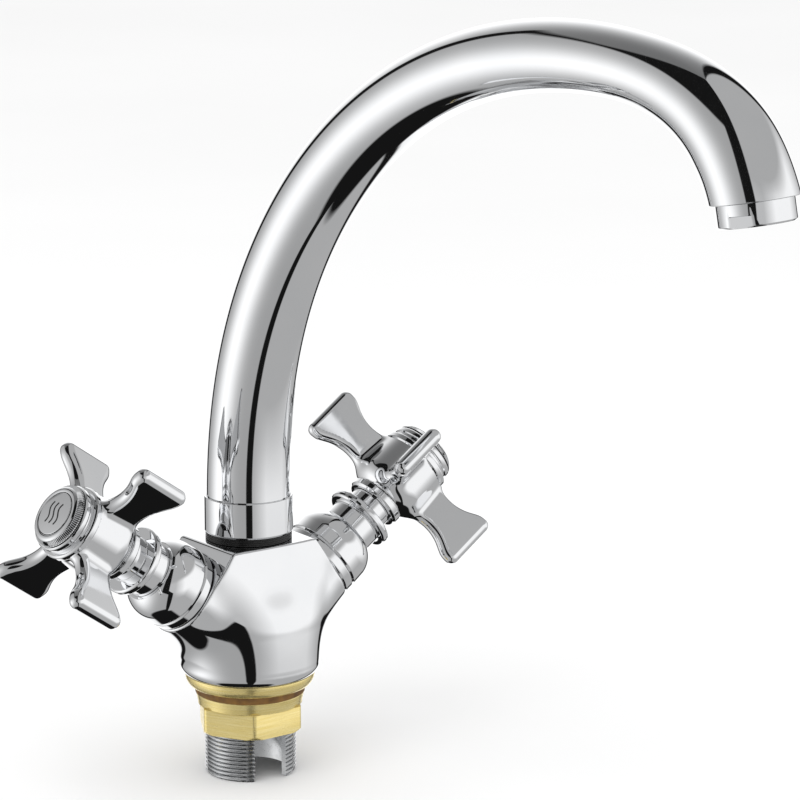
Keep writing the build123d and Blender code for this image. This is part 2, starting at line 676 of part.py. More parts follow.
save(mixer_body(), "mixer_body")
save(base_ring(), "base_ring")
save(threaded_shank(), "threaded_shank")
save(deck_washer(), "deck_washer")
save(mounting_nut(), "mounting_nut")
save(collar_nut(), "collar_nut")
save(collar_seals(), "collar_seals")
save(spout_tail(), "spout_tail")
save(spout_o_rings(), "spout_o_rings")
save(slip_ring(), "slip_ring")
save(spout_tube(), "spout_tube")
save(aerator_housing(), "aerator_housing")
save(aerator_insert(), "aerator_insert")
save(aerator_washer(), "aerator_washer")
for water, side, fin_turn in (("hot", -1, HOT_FIN_TURN), ("cold", 1, COLD_FIN_TURN)):
    save(placed(side, valve_housing()), f"{water}_valve_housing")
    save(placed(side, housing_seal()), f"{water}_housing_seal")
    save(placed(side, seat_rubber()), f"{water}_seat_rubber")
    save(placed(side, fixed_disc()), f"{water}_fixed_disc")
    save(placed(side, moving_disc()), f"{water}_moving_disc")
    save(placed(side, spindle()), f"{water}_spindle")
    save(placed(side, spindle_seal()), f"{water}_spindle_seal")
    save(placed(side, spindle_clip()), f"{water}_spindle_clip")
    save(placed(side, band_ring()), f"{water}_band_ring")
    save(placed(side, bell()), f"{water}_bell")
    save(placed(side, neck_flange()), f"{water}_neck_flange")
    save(placed(side, cross_handle(fin_turn)), f"{water}_cross_handle")
    save(placed(side, handle_screw()), f"{water}_handle_screw")
    save(placed(side, cap_ring()), f"{water}_cap_ring")
    save(placed(side, index_disc()), f"{water}_index_disc")
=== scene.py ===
import json
from math import atan2, cos, pi, radians, sin, sqrt, tan

import bpy
import numpy as np
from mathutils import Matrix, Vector


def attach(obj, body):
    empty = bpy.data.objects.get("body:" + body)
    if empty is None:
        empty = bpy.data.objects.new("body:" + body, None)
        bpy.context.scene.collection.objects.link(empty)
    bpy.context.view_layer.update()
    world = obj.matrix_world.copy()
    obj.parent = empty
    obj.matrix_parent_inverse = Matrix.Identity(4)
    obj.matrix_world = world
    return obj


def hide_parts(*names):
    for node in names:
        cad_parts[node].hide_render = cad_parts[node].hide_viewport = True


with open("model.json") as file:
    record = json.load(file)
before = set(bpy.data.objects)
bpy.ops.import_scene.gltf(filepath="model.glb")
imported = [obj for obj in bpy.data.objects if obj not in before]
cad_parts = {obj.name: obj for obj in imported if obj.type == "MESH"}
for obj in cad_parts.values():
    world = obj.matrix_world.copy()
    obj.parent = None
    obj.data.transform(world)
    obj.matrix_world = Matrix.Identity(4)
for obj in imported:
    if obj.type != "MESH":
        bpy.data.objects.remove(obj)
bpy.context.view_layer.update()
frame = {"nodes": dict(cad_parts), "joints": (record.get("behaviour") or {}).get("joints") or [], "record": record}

nodes = frame["nodes"]
joints = {joint["name"]: joint for joint in frame["joints"]}
scene = bpy.context.scene

MM = 0.001
TURNS = 160  # vertices round a turned part
ROUND_STEPS = 5  # steps in a rounded corner of a quarter turn
CORNER_SHARE = 0.49  # share of a side that a rounding may take
STRAIGHT = 0.01  # bends below this aren't rounded
SHARP_ANGLE = radians(32)
CAMERA_TURN = radians(37.164)  # to the left of the front
CAMERA_FALL = radians(13.0)  # downwards


# Places: a rotation and an origin, in millimetres
class Place:
    def __init__(self, z_dir=(0, 0, 1), x_dir=(1, 0, 0), origin=(0, 0, 0)):
        z = np.array(z_dir, float) / np.linalg.norm(z_dir)
        x = np.array(x_dir, float)
        x -= z * (x @ z)
        x /= np.linalg.norm(x)
        self.turn = np.column_stack([x, np.cross(z, x), z])
        self.origin = np.array(origin, float)

    def out(self, points):
        return points @ self.turn.T + self.origin

    def directions(self, vectors):
        return vectors @ self.turn.T

    def into(self, points):
        return (points - self.origin) @ self.turn


def valve_place(water):
    joint = joints[f"{water}_handle_turn"]
    side = -1 if water == "hot" else 1
    return Place(joint["axis"], (0, side, 0), np.array(joint["pos_m"]) / MM)


upright = Place()
valves = {water: valve_place(water) for water in ("hot", "cold")}


def cad_points(node):
    """The vertices of a CAD node, in millimetres."""
    flat = np.zeros(len(nodes[node].data.vertices) * 3)
    nodes[node].data.vertices.foreach_get("co", flat)
    return flat.reshape(-1, 3) / MM


def measure(node, place=upright):
    """Lowest and highest height, and the outer radius, of a turned CAD node, in millimetres."""
    local = place.into(cad_points(node))
    return local[:, 2].min(), local[:, 2].max(), np.hypot(local[:, 0], local[:, 1]).max()


# Pieces from arrays
def make_piece(name, parts, body, slot, replaced=(), material=None):
    """parts are (vertices in mm, faces, normals or None), joined in one object."""
    verts, faces, normals, count = [], [], [], 0
    custom = all(part[2] is not None for part in parts)
    for points, polygons, vectors in parts:
        verts.append(points)
        faces.extend([[i + count for i in polygon] for polygon in polygons])
        if custom:
            normals.append(vectors)
        count += len(points)
    mesh = bpy.data.meshes.new(name)
    mesh.from_pydata((np.concatenate(verts) * MM).tolist(), [], faces)
    mesh.update()
    mesh.shade_smooth()
    if custom:
        mesh.normals_split_custom_set_from_vertices(np.concatenate(normals).tolist())
    else:
        mesh.set_sharp_from_angle(angle=SHARP_ANGLE)
    piece = bpy.data.objects.new(name, mesh)
    scene.collection.objects.link(piece)
    mesh.materials.append(material or finishes[slot])
    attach(piece, body)
    if replaced:
        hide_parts(*replaced)


def across(direction):
    return np.array([direction[1], -direction[0]])


def outline(points, closed=True):
    """Profile points and outward normals from (r, z) on smooth curves and (r, z, rounding) at corners."""
    spots = [np.array(point[:2], float) for point in points]
    count = len(spots)
    line, normals = [], []
    for i, spot in enumerate(spots):
        before = spot - spots[i - 1] if closed or i > 0 else None
        after = spots[(i + 1) % count] - spot if closed or i < count - 1 else None
        if before is None:
            before = after
        if after is None:
            after = before
        reach = min(np.linalg.norm(before), np.linalg.norm(after)) * CORNER_SHARE
        start = before / np.linalg.norm(before)
        end = after / np.linalg.norm(after)
        bend = atan2(start[0] * end[1] - start[1] * end[0], start @ end)
        if len(points[i]) == 2 or abs(bend) < STRAIGHT:
            normal = across(start) + across(end)
            line.append(spot)
            normals.append(normal / np.linalg.norm(normal))
            continue
        radius = min(points[i][2], reach / tan(abs(bend) / 2))
        side = 1 if bend > 0 else -1
        first = spot - start * radius * tan(abs(bend) / 2)
        centre = first - side * radius * across(start)
        steps = max(2, int(ROUND_STEPS * abs(bend) / (pi / 2)) + 1)
        base = atan2(across(start)[1], across(start)[0])
        for step in range(steps + 1):
            turn = base + bend * step / steps
            normal = np.array([cos(turn), sin(turn)])
            line.append(centre + side * radius * normal)
            normals.append(normal)
    return np.array(line), np.array(normals)


def circle(first, second, third):
    """Centre and radius of the circle through three points."""
    (ax, ay), (bx, by), (cx, cy) = first, second, third
    a, b, c = ax**2 + ay**2, bx**2 + by**2, cx**2 + cy**2
    twice_area = 2 * (ax * (by - cy) + bx * (cy - ay) + cx * (ay - by))
    x = (a * (by - cy) + b * (cy - ay) + c * (ay - by)) / twice_area
    y = (a * (cx - bx) + b * (ax - cx) + c * (bx - ax)) / twice_area
    return x, y, sqrt((ax - x) ** 2 + (ay - y) ** 2)


def arc(start, middle, end, steps=24):
    """Points on the arc through three (r, z) points, without its ends."""
    centre_r, centre_z, radius = circle(start, middle, end)
    turns = np.unwrap([atan2(z - centre_z, r - centre_r) for r, z in (start, middle, end)])
    return [
        (centre_r + radius * cos(turn), centre_z + radius * sin(turn))
        for turn in np.linspace(turns[0], turns[2], steps + 2)[1:-1]
    ]


def lathe(points, place=upright, closed=True, turns=TURNS, ripple=None):
    """A turned part. ripple(angles, z, r) gives a radial offset and leaves the normals to the mesh."""
    line, flat_normals = outline(points, closed)
    angles = np.arange(turns) / turns * 2 * pi
    radii = np.repeat(line[:, :1], turns, axis=1)
    if ripple is not None:
        radii = radii + ripple(angles[None, :], line[:, 1:2], line[:, :1])
    z = np.repeat(line[:, 1:], turns, axis=1)
    verts = np.stack([radii * np.cos(angles), radii * np.sin(angles), z], -1).reshape(-1, 3)
    outward, upward = flat_normals[:, :1], np.repeat(flat_normals[:, 1:], turns, axis=1)
    normals = np.stack([outward * np.cos(angles), outward * np.sin(angles), upward], -1).reshape(-1, 3)
    count = len(line)
    ids = np.arange(count * turns).reshape(count, turns)
    poles = [i for i in range(count) if line[i, 0] < 1e-6]
    for i in poles:
        ids[i] = ids[i, 0]
    faces = []
    for i in range(count if closed else count - 1):
        k = (i + 1) % count
        if i in poles and k in poles:
            continue
        low, high = ids[i], ids[k]
        low_next, high_next = np.roll(low, -1), np.roll(high, -1)
        if i in poles:
            ring = [low, high_next, high]
        elif k in poles:
            ring = [low, low_next, high]
        else:
            ring = [low, low_next, high_next, high]
        faces.extend(np.stack(ring, -1).tolist())
    used = np.unique(ids)
    renumber = np.zeros(count * turns, int)
    renumber[used] = np.arange(len(used))
    faces = [[int(renumber[i]) for i in face] for face in faces]
    normals = None if ripple is not None else place.directions(normals[used])
    return place.out(verts[used]), faces, normals


# Cast shapes, as the zero level of a distance field
SLOPE_STEP = 0.04
NORMAL_STEP = 0.12
LEAST_SLOPE = 0.2
PULLS = 4  # times the vertices are drawn onto the true surface
PULL_REACH = 0.6  # furthest that one pull goes, in cells


def soft_min(a, b, blend):
    h = np.maximum(blend - np.abs(a - b), 0) / blend
    return np.minimum(a, b) - h**3 * blend / 6


def soft_max(a, b, blend):
    return -soft_min(-a, -b, blend)


def smooth_step(low, high, value):
    t = np.clip((value - low) / (high - low), 0, 1)
    return t * t * (3 - 2 * t)


def slope(field, points, step=SLOPE_STEP):
    grad = np.empty_like(points)
    for axis in range(3):
        shift = np.zeros(3)
        shift[axis] = step
        grad[:, axis] = (field(*(points + shift).T) - field(*(points - shift).T)) / (2 * step)
    return grad


def surface(field, low, high, cell):
    """Vertices, faces and normals of field's zero level, by surface nets, drawn onto the true surface."""
    axes = [np.arange(a, b + cell, cell) for a, b in zip(low, high)]
    grid = field(*np.meshgrid(*axes, indexing="ij"))
    inside = grid < 0
    shape = np.array(grid.shape) - 1
    corners = [(i, j, k) for i in (0, 1) for j in (0, 1) for k in (0, 1)]

    def part(array, corner):
        i, j, k = corner
        return array[i:i + shape[0], j:j + shape[1], k:k + shape[2]]

    # A vertex in each cell that the surface crosses, amid its crossings of the cell's edges
    total = sum(part(inside, corner).astype(np.int8) for corner in corners)
    active = np.nonzero((total > 0) & (total < 8))
    number = np.full(shape, -1)
    number[active] = np.arange(len(active[0]))
    values = {corner: part(grid, corner)[active] for corner in corners}
    place = np.zeros((len(active[0]), 3))
    hits = np.zeros(len(active[0]))
    for a in corners:
        for axis in range(3):
            if a[axis] == 1:
                continue
            b = tuple(1 if i == axis else a[i] for i in range(3))
            crossed = (values[a] < 0) != (values[b] < 0)
            share = np.where(crossed, values[a] / np.where(crossed, values[a] - values[b], 1), 0)
            for i in range(3):
                place[:, i] += np.where(crossed, a[i] + (share if i == axis else 0), 0)
            hits += crossed
    place /= hits[:, None]
    verts = np.array(low) + (np.stack(active, -1) + place) * cell

    # A face across each grid edge that the surface crosses
    faces = []
    for axis in range(3):
        u, v = [(1, 2), (2, 0), (0, 1)][axis]
        here = [slice(1, -1)] * 3
        here[axis] = slice(0, -1)
        there = list(here)
        there[axis] = slice(1, None)
        a, b = inside[tuple(here)], inside[tuple(there)]
        for change, flip in ((a & ~b, False), (~a & b, True)):
            base = np.nonzero(change)
            quad = []
            for du, dv in ((0, 0), (1, 0), (1, 1), (0, 1)):
                index = list(base)
                index[u] = base[u] + du
                index[v] = base[v] + dv
                quad.append(number[tuple(index)])
            faces.extend(np.stack(quad[::-1] if flip else quad, -1).tolist())

    for _ in range(PULLS):
        grad = slope(field, verts)
        size = np.maximum((grad**2).sum(1), LEAST_SLOPE)
        move = -(field(*verts.T) / size)[:, None] * grad
        length = np.linalg.norm(move, axis=1, keepdims=True)
        verts += move * np.minimum(1, cell * PULL_REACH / np.maximum(length, 1e-9))
    normals = slope(field, verts, NORMAL_STEP)
    normals /= np.maximum(np.linalg.norm(normals, axis=1, keepdims=True), 1e-9)
    return verts, faces, normals


# Body casting
BODY_R = 25.4
BODY_FOOT = 4.4
BODY_TOP = 54.0
FOOT_TAPER = 2.0
FOOT_TAPER_H = 3.6
FOOT_SPREAD = 0.06
SHOULDER_Z = 22.0
SHOULDER_START = 0.06  # the shoulder's slope starts and ends at these shares of its height
SHOULDER_END = 0.97
SQUARE_GROWTH = 1.6  # how late the round body turns square towards its top
TOP_HALF_X = 17.0
TOP_HALF_Y = 14.4
ARM_FACE = 35.0
ARM_R = 15.5
ARM_ROOT_R = 18.4
ARM_ROOT = 10.0
ARM_ROOT_BLEND = 0.6
ARM_TOP_HALF = 14.3
ARM_TOP_RISE = 2.0
SHANK_HOLE_R = 16.55  # bore of the parts that the shank goes through
SHANK_POCKET_TOP = 14.9
INLET_R = 4.5
INLET_X = 7.0
INLET_TOP = 24.9
NECK_R = 14.0
NECK_TOP = 64.0
NECK_ROOT = 2.0
SOCKET_R = 11.05
SOCKET_FLOOR = 43.5
VALVE_POCKET_R = 10.4
VALVE_POCKET_FLOOR = 13.5
BODY_BLEND = 11.0
ARMS_BLEND = 9.0
ARM_BACK = 5.0
ARM_BACK_BLEND = 16.0
EDGE_BLEND = 1.3
WALL_BLEND = 0.15
FOOT_BLEND = 0.6
BODY_LOW = (-40, -27, 3.6)
BODY_HIGH = (40, 27, 64.8)
BODY_CELL = 0.62


def beside_valve(place, x, y, z):
    """How far points lie across, up and along a valve's axis."""
    px, py, pz = x - place.origin[0], y - place.origin[1], z - place.origin[2]
    return [px * place.turn[0, i] + py * place.turn[1, i] + pz * place.turn[2, i] for i in range(3)]


def body_field(x, y, z):
    share = (z - SHOULDER_Z) / (BODY_TOP - SHOULDER_Z)
    fall = smooth_step(SHOULDER_START, SHOULDER_END, share)
    half_x = BODY_R - (BODY_R - TOP_HALF_X) * fall
    half_y = BODY_R - (BODY_R - TOP_HALF_Y) * fall
    power = 2 + 2 * np.clip(share, 0, 1) ** SQUARE_GROWTH
    ax = np.maximum(np.abs(x), 1e-6) / half_x
    ay = np.maximum(np.abs(y), 1e-6) / half_y
    field = ((ax**power + ay**power) ** (1 / power) - 1) * np.minimum(half_x, half_y)
    arms, ends, pockets = [], [], []
    for place in valves.values():
        u, v, along = beside_valve(place, x, y, z)
        taper = soft_max((along - ARM_ROOT) / (ARM_FACE - ARM_ROOT), 0 * along, ARM_ROOT_BLEND)
        radius = ARM_ROOT_R + (ARM_R - ARM_ROOT_R) * taper
        top = (BODY_TOP + ARM_TOP_RISE - place.origin[2] - along * place.turn[2, 2]) / place.turn[2, 1]
        above = np.clip(v / np.maximum(top, 1), 0, 1)
        side = np.where(v < 0, np.hypot(u, v), np.abs(u)) - radius + (radius - ARM_TOP_HALF) * above**2
        arms.append(soft_max(side, -along - ARM_BACK, ARM_BACK_BLEND))
        ends.append(along - ARM_FACE)
        pockets.append(np.maximum(np.hypot(u, v) - VALVE_POCKET_R, VALVE_POCKET_FLOOR - along))
    field = soft_min(field, soft_min(*arms, ARMS_BLEND), BODY_BLEND)
    field = soft_max(field, np.maximum(*ends), EDGE_BLEND)
    field = soft_max(field, z - BODY_TOP, EDGE_BLEND)
    radial = np.hypot(x, y)
    near_foot = np.clip((FOOT_TAPER_H + BODY_FOOT - z) / FOOT_TAPER_H, 0, 1)
    above_foot = np.maximum(z - BODY_FOOT - FOOT_TAPER_H, 0)
    wall = radial - BODY_R + FOOT_TAPER * near_foot**2 - FOOT_SPREAD * above_foot**2
    field = soft_max(field, wall, WALL_BLEND)
    field = soft_max(field, BODY_FOOT - z, FOOT_BLEND)
    neck = np.maximum(radial - NECK_R, np.maximum(z - NECK_TOP, BODY_TOP - NECK_ROOT - z))
    field = np.minimum(field, neck)
    inlet = np.hypot(np.abs(x) - INLET_X, y) - INLET_R
    hollows = [
        np.maximum(radial - SHANK_HOLE_R, z - SHANK_POCKET_TOP),
        np.maximum(radial - SOCKET_R, SOCKET_FLOOR - z),
        np.maximum(inlet, z - INLET_TOP),
    ]
    for hollow in hollows + pockets:
        field = np.maximum(field, -hollow)
    return field


# Cross handle
FIN_TIP_R = 36.9
FIN_START = 6.0
FIN_ROOT_R = 11.5
FIN_ROOT_HALF = 9.3
FIN_WAIST_AT = 20.5
FIN_WAIST_HALF = 7.0
FIN_FLARE_AT = 30.4
FIN_TIP_HALF = 11.1
FIN_CENTRE = 82.0
FIN_HALF_THICK = 2.98
FIN_EDGE = 2.75
FIN_CORNER = 2.85
FLARE_BLEND = 3.2
FIN_BLEND = 4.6
HUB_LOW = 70.6
HUB_HIGH = 89.7
HUB_EDGE_BLEND = 0.3
HUB_BOWL_FOOT = (10.0, 71.0)
HUB_BOWL_MID = (12.92, 73.74)
HUB_BOWL_TOP = (14.0, 77.6)
HUB_FRONT = (13.2, 89.4)
HUB_BORE_R = 9.1
HUB_WEB_TOP = 78.6
HUB_STEP = 0.1
HUB_SMOOTHING = 8  # steps of the hub's line that are averaged to each side
HANDLE_CELL = 0.5
HANDLE_HALF = 38
HANDLE_MARGIN = 1.2

bowl = [HUB_BOWL_FOOT, *arc(HUB_BOWL_FOOT, HUB_BOWL_MID, HUB_BOWL_TOP, 30), HUB_BOWL_TOP, HUB_FRONT]
bowl_r, bowl_z = np.array(bowl).T
even_z = np.arange(HUB_LOW - 1, HUB_HIGH + 1, HUB_STEP)
kernel = np.hanning(2 * HUB_SMOOTHING + 1)
even_r = np.pad(np.interp(even_z, bowl_z, bowl_r), HUB_SMOOTHING, mode="edge")
even_r = np.convolve(even_r, kernel / kernel.sum(), mode="valid")
waist_x, waist_y, waist_r = circle(
    (FIN_ROOT_R, FIN_ROOT_HALF), (FIN_WAIST_AT, FIN_WAIST_HALF), (FIN_FLARE_AT, FIN_TIP_HALF)
)


def handle_field(x, y, z):
    radial = np.hypot(x, y)
    hub = radial - np.interp(z, even_z, even_r)
    hub = soft_max(hub, np.maximum(HUB_LOW - z, z - HUB_HIGH), HUB_EDGE_BLEND)
    out = np.maximum(np.abs(x), np.abs(y))
    off = np.minimum(np.abs(x), np.abs(y))
    tall = np.abs(z - FIN_CENTRE)
    edge = waist_r - np.hypot(out - waist_x, tall - waist_y)
    side = soft_max(edge, tall - FIN_TIP_HALF, FLARE_BLEND)
    tip = out - FIN_TIP_R
    plan = np.hypot(np.maximum(side + FIN_CORNER, 0), np.maximum(tip + FIN_CORNER, 0))
    plan = plan + np.minimum(np.maximum(side, tip) + FIN_CORNER, 0) - FIN_CORNER
    a = plan + FIN_EDGE
    b = off - FIN_HALF_THICK + FIN_EDGE
    fin = np.hypot(np.maximum(a, 0), np.maximum(b, 0)) + np.minimum(np.maximum(a, b), 0) - FIN_EDGE
    fin = np.maximum(fin, FIN_START - out)
    field = soft_min(hub, fin, FIN_BLEND)
    return np.maximum(field, -np.maximum(radial - HUB_BORE_R, HUB_WEB_TOP - z))


# Materials
# How far the painted shade in joints and grooves reaches, in metres
CREVICE_SHADE_REACH = 0.0012
EVEN = (1, 1, 1)
TURNED = (1, 1, 30)  # fine marks round the axis, as a cutting tool leaves them


def grey(value):
    return (value, value, value, 1)


def new_material(name):
    material = bpy.data.materials.new(name)
    material.use_nodes = True
    return material, material.node_tree, material.node_tree.nodes["Principled BSDF"]


def ramp(tree, source, stops):
    node = tree.nodes.new("ShaderNodeValToRGB")
    for element, (position, colour) in zip(node.color_ramp.elements, stops):
        element.position = position
        element.color = colour
    tree.links.new(source, node.inputs["Fac"])
    return node.outputs["Color"]


def noise(tree, scale, detail=4.0, roughness=0.5, stretch=EVEN):
    coords = tree.nodes.new("ShaderNodeTexCoord")
    mapping = tree.nodes.new("ShaderNodeMapping")
    mapping.inputs["Scale"].default_value = stretch
    tree.links.new(coords.outputs["Object"], mapping.inputs["Vector"])
    node = tree.nodes.new("ShaderNodeTexNoise")
    node.inputs["Scale"].default_value = scale
    node.inputs["Detail"].default_value = detail
    node.inputs["Roughness"].default_value = roughness
    tree.links.new(mapping.outputs["Vector"], node.inputs["Vector"])
    return node.outputs["Fac"]


def bump(tree, shader, height, strength, distance):
    node = tree.nodes.new("ShaderNodeBump")
    node.inputs["Strength"].default_value = strength
    node.inputs["Distance"].default_value = distance
    tree.links.new(height, node.inputs["Height"])
    tree.links.new(node.outputs["Normal"], shader.inputs["Normal"])


def painted_crevice_shade(tree, colour):
    """The colour with painted shade: darkened by ambient occlusion in joints and grooves, where little light
    reaches.
    """
    occlusion = tree.nodes.new("ShaderNodeAmbientOcclusion")
    occlusion.samples = 8
    occlusion.inputs["Distance"].default_value = CREVICE_SHADE_REACH
    shade = ramp(tree, occlusion.outputs["AO"], [(0.25, grey(0.03)), (0.62, grey(1.0))])
    mix = tree.nodes.new("ShaderNodeMix")
    mix.data_type = "RGBA"
    mix.blend_type = "MULTIPLY"
    mix.inputs["Factor"].default_value = 1.0
    tree.links.new(colour, mix.inputs["A"])
    tree.links.new(shade, mix.inputs["B"])
    return mix.outputs["Result"]


def metal(name, dark, light, rough, scale, bump_by, stretch=EVEN, fine=900.0, metallic=1.0):
    """rough is the lowest and highest roughness, and bump_by the bump's strength and distance."""
    material, tree, shader = new_material(name)
    shader.inputs["Metallic"].default_value = metallic
    colour = ramp(tree, noise(tree, scale, stretch=stretch), [(0.3, dark), (0.7, light)])
    # Base colour with painted shade: darkened by ambient occlusion in joints and grooves
    tree.links.new(painted_crevice_shade(tree, colour), shader.inputs["Base Color"])
    patches = noise(tree, scale * 3, 6.0, 0.6, stretch)
    roughness = ramp(tree, patches, [(0.35, grey(rough[0])), (0.75, grey(rough[1]))])
    tree.links.new(roughness, shader.inputs["Roughness"])
    bump(tree, shader, noise(tree, fine, 2.0, 0.5, stretch), *bump_by)
    return material


def dull(name, dark, light, rough, scale, bump_by):
    """rough and bump_by are as in metal."""
    material, tree, shader = new_material(name)
    colour = ramp(tree, noise(tree, scale), [(0.3, dark), (0.7, light)])
    tree.links.new(colour, shader.inputs["Base Color"])
    patches = noise(tree, scale * 2.3)
    roughness = ramp(tree, patches, [(0.3, grey(rough[0])), (0.7, grey(rough[1]))])
    tree.links.new(roughness, shader.inputs["Roughness"])
    bump(tree, shader, noise(tree, scale * 6), *bump_by)
    return material


metals = {
    "polished_chrome": dict(
        dark=(0.86, 0.87, 0.885, 1), light=(0.90, 0.905, 0.915, 1), rough=(0.02, 0.07), scale=45.0,
        bump_by=(0.02, 0.00002),
    ),
    "machined_brass": dict(
        dark=(0.86, 0.68, 0.24, 1), light=(0.98, 0.83, 0.40, 1), rough=(0.16, 0.34), scale=60.0,
        bump_by=(0.25, 0.0001), stretch=TURNED, fine=60.0, metallic=0.8,
    ),
    "satin_metal": dict(
        dark=(0.60, 0.61, 0.62, 1), light=(0.78, 0.79, 0.80, 1), rough=(0.18, 0.36), scale=150.0,
        bump_by=(0.08, 0.00008),
    ),
    "bright_steel": dict(
        dark=grey(0.58), light=grey(0.70), rough=(0.2, 0.35), scale=200.0, bump_by=(0.1, 0.00005),
    ),
}
dulls = {
    "black_rubber": dict(
        dark=grey(0.006), light=grey(0.014), rough=(0.2, 0.38), scale=300.0, bump_by=(0.15, 0.0001),
    ),
    "brown_rubber": dict(
        dark=(0.11, 0.048, 0.008, 1), light=(0.24, 0.115, 0.018, 1), rough=(0.5, 0.75), scale=260.0,
        bump_by=(0.3, 0.0001),
    ),
    "ceramic_discs": dict(
        dark=(0.80, 0.78, 0.73, 1), light=(0.88, 0.87, 0.83, 1), rough=(0.15, 0.3), scale=400.0,
        bump_by=(0.05, 0.00005),
    ),
    "white_plastic": dict(
        dark=(0.72, 0.72, 0.70, 1), light=(0.80, 0.80, 0.78, 1), rough=(0.3, 0.45), scale=350.0,
        bump_by=(0.1, 0.00005),
    ),
}
finishes = {slot: metal(slot, **values) for slot, values in metals.items()}
finishes |= {slot: dull(slot, **values) for slot, values in dulls.items()}
enamel = dull(
    "index_enamel", dark=grey(0.006), light=grey(0.012), rough=(0.25, 0.4), scale=500.0,
    bump_by=(0.05, 0.00005),
)
for entry in frame["record"]["subparts"]:
    nodes[entry["node"]].data.materials.clear()
    nodes[entry["node"]].data.materials.append(finishes[entry["material_slot"]])

# Body and the parts round it. Profiles are (r, z) or (r, z, rounding), as in outline
COLLAR_BORE_R = 14.05
COLLAR_HOLE_R = 11.3
COLLAR_LID = 2.6
SEAL_RIBS = 4
RIB_SHAPE = ((0.0, 0.55), (0.2, 0.15), (0.5, 0.0), (0.8, 0.15))  # share of the height, depth
RING_RECESS_R = 20.1
RING_RECESS_TOP = 1.0
RING_SEAT_R = 21.7
RING_BULGE = (23.15, 2.2)
RING_TOP_R = 23.4
BAND_BORE_R = 13.1
HEADWORK_R = 8.05
BELL_MOUTH_R = 13.7
BELL_BASE_R = 15.2
BELL_SKIRT = 5.0
BELL_BULGE = (14.0, 4.77)  # radius, and height over the skirt
BELL_TOP_R = 11.2
BELL_LID = 1.7
BELL_BORE_R = 13.5
BELL_BORE_BULGE = (12.52, 3.45)
BELL_BORE_TOP_R = 9.5
SPINDLE_HOLE_R = 4.5
FLANGE_FLOOR = 59.4
FLANGE_SLEEVE_R = 10.0
FLANGE_RIM = (
    (FLANGE_SLEEVE_R, 58.8, 0.6), (12.2, 58.8, 0.5), (12.85, 59.3, 0.7), (None, 60.35, 0.9),
    (12.85, 61.4, 0.7), (12.2, 61.9, 0.5), (8.3, 61.9, 0.5),
)  # None stands for the measured radius

make_piece(
    "mixer_body_skin", [surface(body_field, BODY_LOW, BODY_HIGH, BODY_CELL)],
    "mixer", "polished_chrome", ["mixer_body"],
)

foot, top, radius = measure("collar_nut")
make_piece(
    "collar_nut_skin",
    [lathe([
        (COLLAR_BORE_R, foot, 0.1), (radius - 0.5, foot, 0.4), (radius, foot + 0.7, 0.5),
        (radius, top, 0.3), (COLLAR_HOLE_R, top, 0.1), (COLLAR_HOLE_R, top - COLLAR_LID, 0.1),
        (COLLAR_BORE_R, top - COLLAR_LID, 0.1),
    ])],
    "mixer", "polished_chrome", ["collar_nut"],
)

foot, top, radius = measure("collar_seals")
rib = (top - foot) / SEAL_RIBS
ribs = []
for i in range(SEAL_RIBS):
    ribs += [(radius - depth, foot + i * rib + share * rib) for share, depth in RIB_SHAPE]
ribs.append((ribs[0][0], top))
make_piece(
    "collar_seal_rings", [lathe([(COLLAR_BORE_R, foot, 0.05), *ribs, (COLLAR_BORE_R, top, 0.05)])],
    "mixer", "black_rubber", ["collar_seals"],
)

foot, top, radius = measure("base_ring")
make_piece(
    "base_ring_skin",
    [lathe([
        (SHANK_HOLE_R, RING_RECESS_TOP, 0.1), (RING_RECESS_R, RING_RECESS_TOP, 0.1),
        (RING_RECESS_R, foot, 0.15), (RING_SEAT_R, foot, 0.4),
        *arc((RING_SEAT_R, foot), RING_BULGE, (RING_TOP_R, top), 12),
        (RING_TOP_R, top, 0.2), (SHANK_HOLE_R, top, 0.1),
    ])],
    "mixer", "machined_brass", ["base_ring"],
)

for water, place in valves.items():
    foot, top, radius = measure(f"{water}_band_ring", place)
    make_piece(
        f"{water}_band_ring_skin",
        [lathe([
            (BAND_BORE_R, foot, 0.1), (radius - 0.7, foot, 0.5), (radius, foot + 0.9, 0.7),
            (radius, top - 0.5, 0.4), (radius - 0.5, top, 0.1), (BAND_BORE_R, top, 0.1),
        ], place)],
        "mixer", "polished_chrome", [f"{water}_band_ring"],
    )
    foot, top, radius = measure(f"{water}_bell", place)
    skirt, lid = foot + BELL_SKIRT, top - BELL_LID
    bulge = (BELL_BULGE[0], skirt + BELL_BULGE[1])
    bore_bulge = (BELL_BORE_BULGE[0], skirt + BELL_BORE_BULGE[1])
    make_piece(
        f"{water}_bell_skin",
        [lathe([
            (BELL_MOUTH_R, foot, 0.2), (radius - 0.6, foot, 0.2), (radius, foot + 0.8, 0.5),
            (BELL_BASE_R, skirt), *arc((BELL_BASE_R, skirt), bulge, (BELL_TOP_R, top)),
            (BELL_TOP_R, top, 0.6), (HEADWORK_R, top, 0.2), (HEADWORK_R, lid, 0.2),
            (BELL_BORE_TOP_R, lid, 0.3),
            *arc((BELL_BORE_TOP_R, lid), bore_bulge, (BELL_BORE_R, skirt), 12), (BELL_BORE_R, skirt),
        ], place)],
        "mixer", "polished_chrome", [f"{water}_bell"],
    )
    foot, top, radius = measure(f"{water}_neck_flange", place)
    rim = [(r or radius, z, rounding) for r, z, rounding in FLANGE_RIM]
    make_piece(
        f"{water}_neck_flange_skin",
        [lathe([
            (HEADWORK_R, foot, 0.1), (FLANGE_SLEEVE_R, foot, 0.2), *rim, (rim[-1][0], top, 0.2),
            (SPINDLE_HOLE_R, top, 0.1), (SPINDLE_HOLE_R, FLANGE_FLOOR, 0.1),
            (HEADWORK_R, FLANGE_FLOOR, 0.1),
        ], place)],
        "mixer", "polished_chrome", [f"{water}_neck_flange"],
    )

